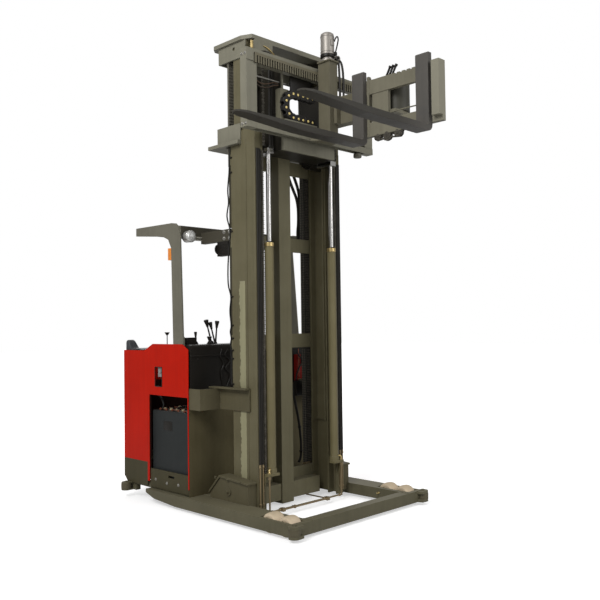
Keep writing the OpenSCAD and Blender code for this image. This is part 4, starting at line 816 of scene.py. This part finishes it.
# Sliding mast: two channels and a plate head, with the chain anchors' screws on top
# and the zinc guide of the chain beside the slot in its front plate.
finish_node("sliding_rails", olive)
finish_node("sliding_crosshead", grey_olive)
guide = bmesh.new()
arc = [(-0.34 + 0.118 * t, 0.0505, 3.752 - 0.046 * t ** 1.7) for t in (i / 12 for i in range(13))]
tube(guide, arc, [0.004 + 0.004 * math.sin(math.pi * i / 12) for i in range(13)], 8)
block(guide, (-0.48, 0.0465, 3.703), (-0.452, 0.0545, 3.768), 0.003)
for z in (3.714, 3.757):
    turned(guide, (-0.466, 0.047, z), (0, -1, 0), [(0.006, -0.0005), (0.006, 0.003), (0.004, 0.004)], 12)
keep_piece("head_guide", guide, zinc, "inner_mast")
head_bolts = bmesh.new()
for s in (-1, 1):
    for y in (0.33, 0.47):
        hex_bolt(head_bolts, (s * 0.4, y, 3.8218), (0, 0, 1), 0.022, 0.011)
keep_piece("head_bolts", head_bolts, steel, "inner_mast")
head_beads = bmesh.new()
weld_both(head_beads, (0.4705, 0.116, 3.6555, 0.4705, 0.272, 3.6555))
keep_piece("head_welds", head_beads, grey_olive, "inner_mast")

# Chain strands and hoses under the sliding head: a leaf chain and two black hoses a side
# hang from the sheaves behind the front plate down to the rods' brackets.
strand = bmesh.new()
for s in (-1, 1):
    leaf_chain(strand, s * chain_x, 2.912, 3.6486, 0.0254, 0.0125,
        (((-0.029, -0.0266), (-0.0234, -0.021)), ((-0.0318, -0.0294), (-0.0262, -0.0238))), -0.0205, 0.0042, 0.0118)
keep_piece("head_chains", strand, chain_oil, "inner_mast")
head_hoses = bmesh.new()
for s in (-1, 1):
    for x in (0.334, 0.357):
        tube(head_hoses, [(s * x, y, z) for y, z in (
            (-0.03, 2.902), (-0.03, 3.2), (-0.03, 3.64), (-0.02, 3.668), (0.01, 3.69), (0.055, 3.7))], 0.01, 12)
        turned(head_hoses, (s * x, -0.03, 2.8995), (0, 0, 1),
            [(0.0125, 0.0), (0.0135, 0.003), (0.0135, 0.02), (0.0105, 0.024)], 6)
    tube(head_hoses, [(s * 0.4, -0.026, 2.918), (s * 0.422, -0.026, 2.918)], 0.006, 10)
keep_piece("head_hoses", head_hoses, hose_black, "inner_mast")

# Traverse frame and rack: folded plate posts between two beams, a milled rack under the
# upper beam, and a thin steel pipe with a bundle of wires behind it.
frame_look = enamel("frame_olive", (0.165, 0.157, 0.118), (0.34, 0.33, 0.28), (0.22, 0.21, 0.165), 0.36, 0.42, 0.25)
# Painted shade: every part of the frame behind y -0.095 is painted near black, standing in for the shade behind the
# front beams.
stain_and_shade(frame_look, (0.016, 0.014, 0.01), {"Y": (-0.113, -0.095)})
finish_node("traverse_frame", frame_look)
rack_look = enamel("rack_olive", (0.12, 0.108, 0.07), (0.34, 0.32, 0.27), (0.12, 0.1, 0.07), 0.38, 0.55, 0.3)
stain_and_shade(rack_look, (0.012, 0.01, 0.007), {"Y": (-0.2005, -0.196)})
finish_node("rack", rack_look)
frame_beads = bmesh.new()
for z in (3.4925, 3.0355):
    weld_both(frame_beads, (0.6295, -0.1905, z, 0.6295, -0.117, z))
    weld_both(frame_beads, (0.632, -0.1903, z, 0.733, -0.1903, z), size=0.003)
keep_piece("frame_welds", frame_beads, grey_olive, "carriage")
frame_post_look = enamel("chain_post_olive", (0.15, 0.14, 0.098), (0.34, 0.33, 0.28), (0.2, 0.185, 0.14),
    0.38, 0.42, 0.25)
frame_bolts = bmesh.new()
for s in (-1, 1):
    for z in (3.01, 3.54):
        for y in (-0.172, -0.134):
            hex_bolt(frame_bolts, (s * 0.7348, y, z), (s, 0, 0), 0.013, 0.007)
keep_piece("frame_bolts", frame_bolts, steel, "carriage")
tube_post = bmesh.new()
block(tube_post, (-0.324, -0.125, 3.034), (-0.221, -0.065, 3.372), 0.005)
block(tube_post, (-0.318, -0.119, 3.37), (-0.227, -0.071, 3.378), 0.003)
keep_piece("chain_post", tube_post, frame_post_look, "carriage")
tray = bmesh.new()
block(tray, (-0.216, -0.127, 3.335), (0.03, -0.118, 3.4935), 0.002)
keep_piece("chain_tray", tray, black_mould, "carriage")
knob = bmesh.new()
turned(knob, (0.574, -0.15, 2.9855), (0, 0, -1), [(0.02, 0.0), (0.02, 0.006), (0.033, 0.008), (0.036, 0.012),
    (0.036, 0.036), (0.032, 0.042), (0.012, 0.043)], 28)
keep_piece("beam_stop", knob, chain_grey, "carriage")
thin = bmesh.new()
tube(thin, [(-0.632, -0.085, 3.428), (-0.4, -0.085, 3.43), (-0.163, -0.085, 3.432)], 0.0062, 12)
turned(thin, (-0.165, -0.085, 3.432), (1, 0, 0), [(0.009, 0.0), (0.01, 0.002), (0.01, 0.012), (0.006, 0.015)], 6)
turned(thin, (-0.19, -0.085, 3.432), (0, 0, 1), [(0.006, 0.0), (0.006, 0.02), (0.004, 0.024)], 10)
keep_piece("beam_pipe", thin, steel, "carriage")
cable_brown = enamel("cable_brown", (0.085, 0.055, 0.035), (0.2, 0.15, 0.1), (0.1, 0.08, 0.06), 0.42, 0.2, 0.3)
for name, look, lift, droop in (("wire_copper", cable_brown, 0.0, 0.03),
        ("wire_black", cable_black, 0.012, 0.045), ("wire_brown", cable_brown, 0.022, 0.022)):
    bundle = bmesh.new()
    way = [(x, y, z + lift - droop * share) for x, y, z, share in (
        (-0.63, -0.083, 3.395, 0.0), (-0.57, -0.092, 3.388, 0.6), (-0.5, -0.094, 3.378, 1.0),
        (-0.43, -0.09, 3.384, 0.7), (-0.36, -0.086, 3.398, 0.2))]
    tube(bundle, flowing(way + [(-0.31, -0.084, 3.405 + lift * 0.5)], 7), 0.0042, 8)
    keep_piece(name, bundle, look, "carriage", 80.0)

# Drag chain: moulded black links with side plates and a cover bar each, joined by yellow
# pins, bent back over the tray beside the turret's column.
chain_black = enamel("link_plastic", (0.018, 0.017, 0.016), (0.06, 0.06, 0.06), (0.06, 0.055, 0.045), 0.36, 0.5, 0.25)
drag_low, drag_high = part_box("drag_chain")
mid_radius = 0.097
mid_x, mid_z = -0.211, 3.239
run = drag_high[0] - mid_x
arc_long = math.pi * mid_radius
whole = 2 * run + arc_long


def along_chain(d):
    if d < run:
        return Vector((drag_high[0] - d, 0, mid_z - mid_radius))
    if d < run + arc_long:
        a = (d - run) / mid_radius
        return Vector((mid_x - mid_radius * math.sin(a), 0, mid_z - mid_radius * math.cos(a)))
    return Vector((mid_x + d - run - arc_long, 0, mid_z + mid_radius))


links = bmesh.new()
pins = bmesh.new()
count = int(round(whole / 0.054))
pitch = whole / count
for i in range(count):
    a, b = (along_chain(pitch * (i + part)) for part in (0.12, 0.88))
    way = (b - a).normalized()
    up = Vector((way.z, 0, -way.x))
    centre = (a + b) / 2
    half = (b - a).length / 2 + 0.012
    shift = 0.0 if i % 2 else 0.0035
    rim = []
    for sign, degrees in ((-1, (120, 160, 200, 240)), (1, (-60, -20, 20, 60))):
        for t in (math.radians(k) for k in degrees):
            round_end = way * 0.026 * math.cos(t) + up * 0.037 * math.sin(t)
            rim.append(centre + way * sign * (half - 0.024) + round_end)
    for faces_at in ((drag_low[1] + shift, drag_low[1] + 0.006 + shift),
            (drag_high[1] - 0.006 - shift, drag_high[1] - shift)):
        skin(links, [[links.verts.new((p.x, y, p.z)) for p in rim] for y in faces_at])
    for s in (-1, 1):
        bar = [centre + way * dw + up * s * dz for dz, dw in (
            (0.027, -0.018), (0.027, 0.018), (0.0345, 0.014), (0.0345, -0.014))]
        skin(links, [[links.verts.new((p.x, y, p.z)) for p in bar]
            for y in (drag_low[1] + 0.004, drag_high[1] - 0.004)])
    p = along_chain(pitch * (i + 0.5))
    turned(pins, (p.x, drag_low[1] + shift + 0.0008, p.z), (0, -1, 0),
        [(0.0104, 0.0), (0.0104, 0.001), (0.0088, 0.0034), (0.004, 0.0044)], 18)
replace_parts(keep_piece("drag_links", links, chain_black, "carriage"), "drag_chain")
pin_yellow = enamel("pin_yellow", (0.74, 0.58, 0.22), (0.8, 0.7, 0.4), (0.3, 0.24, 0.12), 0.35, 0.2, 0.3)
keep_piece("drag_pins", pins, pin_yellow, "carriage")

# Turret: welded box column and arm in olive. A flanged gear motor stands on its cap, with
# a looped lead at the top and two hoses down the column's left side.
turret_olive = enamel("turret_olive", (0.108, 0.098, 0.066), (0.3, 0.28, 0.23), (0.15, 0.138, 0.1),
    0.36, 0.45, 0.3, shine=0.14)
stain_and_shade(turret_olive, (0.048, 0.046, 0.036), {"Y": (-0.765, -0.79)})
finish_node("turret_arm", turret_olive)
turret_beads = bmesh.new()
weld(turret_beads, (0.033, -0.3275, 3.6255), (0.125, -0.3275, 3.6255), 0.004)
weld(turret_beads, (0.0315, -0.3255, 3.6255), (0.0315, -0.206, 3.6255), 0.004)
weld(turret_beads, (0.126, -0.3275, 3.122), (0.126, -0.3275, 3.343), 0.004)
keep_piece("turret_welds", turret_beads, turret_olive, "turret")


def bolt_ring(shape, x, y, z, ring, turned_by, across, head):
    for t in (math.radians(60 * k + turned_by) for k in range(6)):
        hex_bolt(shape, (x + ring * math.cos(t), y + ring * math.sin(t), z), (0, 0, 1), across, head, False)


motor_x, motor_y = 0.079, -0.265
turret_bolts = bmesh.new()
bolt_ring(turret_bolts, motor_x, motor_y, 3.6488, 0.0505, 30, 0.01, 0.006)
keep_piece("motor_bolts", turret_bolts, steel, "turret")
motor_look = enamel("motor_silver", (0.27, 0.25, 0.225), (0.6, 0.59, 0.56), (0.15, 0.135, 0.11),
    0.36, 0.4, 0.45, metal=0.55)
finish_node("traverse_motor", motor_look)
fins = bmesh.new()
for z in (3.712, 3.716, 3.838, 3.842):
    turned(fins, (motor_x, motor_y, z), (0, 0, 1), [(0.0555, 0.0), (0.0575, 0.0005), (0.0575, 0.002),
        (0.0555, 0.0025)], 40)
block(fins, (0.06, -0.3265, 3.76), (0.098, -0.3185, 3.812), 0.003)
for z in (3.655, 3.668, 3.681):
    block(fins, (0.1845, -0.292, z), (0.1872, -0.242, z + 0.006), 0.001)
keep_piece("motor_bands", fins, motor_look, "turret")
elbow = bmesh.new()
turned(elbow, (0.165, -0.272, 3.7025), (0, 0, 1), [(0.011, 0.0), (0.012, 0.002), (0.012, 0.01), (0.009, 0.012),
    (0.009, 0.02), (0.007, 0.022)], 8)
turned(elbow, (0.143, -0.32, 3.673), (0, -1, 0), [(0.013, 0.0), (0.013, 0.006), (0.009, 0.008), (0.009, 0.014)], 8)
turned(elbow, (0.098, -0.32, 3.804), (0, -1, 0.3), [(0.01, -0.002), (0.01, 0.008), (0.0075, 0.01)], 10)
turned(elbow, (motor_x, motor_y, 3.672), (0, 0, 1), [(0.056, 0.0), (0.059, 0.002), (0.059, 0.022), (0.056, 0.024)],
    32)
block(elbow, (0.1, -0.329, 3.69), (0.128, -0.304, 3.716), 0.003)
keep_piece("motor_fittings", elbow, black_mould, "turret")
for name, size, way in (
        ("motor_lead", 0.0115, [
            (0.098, -0.326, 3.806), (0.1, -0.338, 3.822), (0.108, -0.343, 3.834), (0.124, -0.34, 3.836),
            (0.14, -0.33, 3.822), (0.15, -0.315, 3.8), (0.157, -0.298, 3.772), (0.162, -0.284, 3.748),
            (0.165, -0.274, 3.726)]),
        ("column_hose_a", 0.0185, [
            (0.137, -0.302, 3.665), (0.1372, -0.32, 3.655), (0.1365, -0.334, 3.626), (0.1365, -0.339, 3.56),
            (0.138, -0.341, 3.48), (0.1405, -0.341, 3.41), (0.143, -0.339, 3.346)]),
        ("column_hose_b", 0.0185, [
            (0.166, -0.3015, 3.662), (0.1665, -0.322, 3.652), (0.166, -0.34, 3.622), (0.169, -0.35, 3.56),
            (0.171, -0.353, 3.48), (0.172, -0.353, 3.41), (0.172, -0.351, 3.346)])):
    line = flowing(way, 7)
    hose = bmesh.new()
    tube(hose, line, size / 2, 12)
    hose_piece = keep_piece(name, hose, hose_black, "turret", 80.0)

# Fork carriage and forks: notched bars and plate in olive, roller chain round the three
# wheels of the swing drive, capped oil stubs above, and forged forks in worn grey.
head_olive = enamel("fork_head_olive", (0.138, 0.128, 0.092), (0.32, 0.3, 0.25), (0.185, 0.174, 0.13),
    0.36, 0.45, 0.28, shine=0.15)
stain_and_shade(head_olive, (0.2, 0.19, 0.145), {"Y": (-1.28, -1.29)})
stain_and_shade(head_olive, (0.028, 0.025, 0.018), {"Z": (2.94, 2.93)})
finish_node("fork_carriage", head_olive)
fork_grey = enamel("fork_grey", (0.074, 0.07, 0.064), (0.19, 0.17, 0.145), (0.105, 0.088, 0.066), 0.4, 0.65, 0.42)
stain_and_shade(fork_grey, (0.036, 0.033, 0.027), {"X": (0.03, -0.35)})
finish_node("forks", fork_grey)
swing = bmesh.new()
wheels = ((-0.79, 0.034), (-0.875, 0.044), (-0.975, 0.04))
wheel_z, link = 2.931, 0.0127
rounds = []
for (y, r), (start, stop) in zip(wheels, ((20, -60), (-35, -145), (-120, -200))):
    for k in range(8):
        a = math.radians(start + (stop - start) * k / 7)
        rounds.append(Vector((y + (r + 0.002) * math.cos(a), wheel_z + (r + 0.002) * math.sin(a))))
lengths = [0.0]
for a, b in zip(rounds, rounds[1:]):
    lengths.append(lengths[-1] + (b - a).length)
d, odd = 0.0, False
while d + link < lengths[-1]:
    ends = []
    for at in (d, d + link):
        k = min(max(i for i, value in enumerate(lengths) if value <= at), len(rounds) - 2)
        ends.append(rounds[k].lerp(rounds[k + 1], (at - lengths[k]) / (lengths[k + 1] - lengths[k])))
    a, b = ends
    way = (b - a).normalized()
    rise = Vector((-way.y, way.x))
    rim = [a - way * 0.005, a + rise * 0.0055, (a + b) / 2 + rise * 0.0042, b + rise * 0.0055, b + way * 0.005,
           b - rise * 0.0055, (a + b) / 2 - rise * 0.0042, a - rise * 0.0055]
    for pair in ((0.0655, 0.0677), (0.0823, 0.0845)) if odd else ((0.063, 0.0652), (0.0848, 0.087)):
        skin(swing, [[swing.verts.new((x, p.x, p.y)) for p in rim] for x in pair])
    turned(swing, (0.0615, a.x, a.y), (1, 0, 0), [(0.0028, 0.0), (0.0028, 0.027)], 8)
    d += link
    odd = not odd
for y, r in wheels:
    turned(swing, (0.0642, y, wheel_z), (-1, 0, 0), [(r - 0.008, -0.001), (r - 0.008, 0.0015), (r * 0.45, 0.002),
        (r * 0.42, 0.007), (r * 0.2, 0.008)], 24)
    hex_bolt(swing, (0.0575, y, wheel_z), (-1, 0, 0), 0.012, 0.006, False)
keep_piece("swing_chain", swing, chain_oil, "fork_head")
stub_x = 0.13
stubs = bmesh.new()
for y, lean in ((-0.815, 0.052), (-0.842, 0.055), (-0.869, 0.058)):
    end = (stub_x, y - lean, 3.464)
    tube(stubs, [(stub_x, y, 3.374), (stub_x, y - lean * 0.5, 3.419), end], 0.0085, 12)
    turned(stubs, end, (0, -lean, 0.09), [(0.0105, -0.012), (0.0115, -0.01), (0.0115, 0.002), (0.008, 0.005)], 8)
    turned(stubs, (stub_x, y, 3.3745), (0, -lean, 0.09), [(0.0125, 0.0), (0.0125, 0.01), (0.0095, 0.013)], 6)
keep_piece("oil_stubs", stubs, hose_black, "fork_head")
head_screws = bmesh.new()
for z in (2.99, 3.32):
    for y in (-0.6985, -1.3555):
        hex_bolt(head_screws, (0.0932, y, z), (1, 0, 0), 0.019, 0.01)
hub_x, hub_y = 0.215, -0.87
bolt_ring(head_screws, hub_x, hub_y, 3.3752, 0.055, 0, 0.013, 0.007)
turned(head_screws, (hub_x, hub_y, 3.3745), (0, 0, 1), [(0.034, 0.0), (0.034, 0.006), (0.024, 0.01), (0.012, 0.011),
    (0.012, 0.022), (0.006, 0.024)], 28)
keep_piece("head_screws", head_screws, steel, "fork_head")
fork_beads = bmesh.new()
for y in (-0.7405, -0.8915):
    weld(fork_beads, (0.0632, y, 3.047), (0.0632, y, 3.263), 0.0035)
for z in (3.0455, 3.2645):
    weld(fork_beads, (0.0632, -0.742, z), (0.0632, -0.89, z), 0.0035)
weld(fork_beads, (0.0575, -0.7135, 2.94), (0.0575, -0.7135, 3.045), 0.0035)
weld(fork_beads, (0.0575, -0.7135, 3.267), (0.0575, -0.7135, 3.373), 0.0035)
keep_piece("fork_head_welds", fork_beads, head_olive, "fork_head")

# Wiring and hoses behind the mast: a red terminal box with copper wires on the front wall,
# and three heavy black hoses between the column and the left rail.
heavy = bmesh.new()
for thick, way in (
        (0.0135, [(0.236, 0.385, 2.984), (0.267, 0.385, 2.925), (0.295, 0.385, 2.87), (0.335, 0.385, 2.795),
                  (0.365, 0.385, 2.73), (0.385, 0.386, 2.65), (0.398, 0.395, 2.5), (0.412, 0.412, 2.35),
                  (0.444, 0.425, 2.24)]),
        (0.0135, [(0.19, 0.387, 2.984), (0.208, 0.387, 2.915), (0.232, 0.386, 2.86), (0.276, 0.385, 2.764),
                  (0.317, 0.385, 2.69), (0.35, 0.385, 2.628), (0.372, 0.388, 2.54), (0.385, 0.4, 2.42),
                  (0.4, 0.425, 2.33), (0.444, 0.465, 2.235)]),
        (0.0115, [(0.33, 0.452, 0.965), (0.345, 0.45, 0.88), (0.366, 0.45, 0.8), (0.405, 0.45, 0.64),
                  (0.427, 0.45, 0.5), (0.433, 0.45, 0.4), (0.427, 0.45, 0.31), (0.4, 0.45, 0.262)])):
    tube(heavy, flowing(way, 6), thick, 14)
for z, x in ((0.565, 0.418), (0.35, 0.431)):
    turned(heavy, (x, 0.45, z), (0, 0, 1), [(0.012, 0.0), (0.016, 0.002), (0.016, 0.018), (0.012, 0.02)], 14)
keep_piece("heavy_hoses", heavy, hose_black, smooth=80.0)
under = bmesh.new()
block(under, (0.478, 0.545, 0.845), (0.592, 0.5835, 0.982), 0.005)
keep_piece("terminal_lower_box", under, black_mould)
box_red = enamel("terminal_red", (0.15, 0.007, 0.004), (0.25, 0.04, 0.03), (0.1, 0.02, 0.012),
    0.34, 0.3, 0.3, shine=0.1)
term = bmesh.new()
block(term, (0.485, 0.548, 0.985), (0.585, 0.5835, 1.225), 0.005)
keep_piece("terminal_box", term, box_red)
posts = bmesh.new()
for i in range(5):
    z = 1.02 + i * 0.044
    hex_bolt(posts, (0.52, 0.5483, z), (0, -1, 0), 0.01, 0.006)
    tube(posts, flowing([(0.52, 0.544, z), (0.505, 0.53, z + 0.01), (0.49, 0.524, z + 0.04),
        (0.497, 0.532, z + 0.082)], 5), 0.0032, 6)
keep_piece("terminal_wires", posts, copper)
loops = bmesh.new()
for way in (
        [(0.56, 0.54, 1.11), (0.54, 0.52, 1.165), (0.505, 0.515, 1.195), (0.485, 0.53, 1.235),
         (0.5, 0.55, 1.27)],
        [(0.545, 0.54, 1.15), (0.52, 0.518, 1.19), (0.52, 0.515, 1.225), (0.545, 0.53, 1.25),
         (0.56, 0.552, 1.285)],
        [(0.57, 0.54, 1.2), (0.56, 0.522, 1.18), (0.535, 0.512, 1.15), (0.5, 0.516, 1.12),
         (0.482, 0.535, 1.06), (0.478, 0.55, 0.99)]):
    tube(loops, flowing(way, 7), 0.007, 10)
keep_piece("terminal_loops", loops, cable_black, smooth=80.0)

low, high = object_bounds()
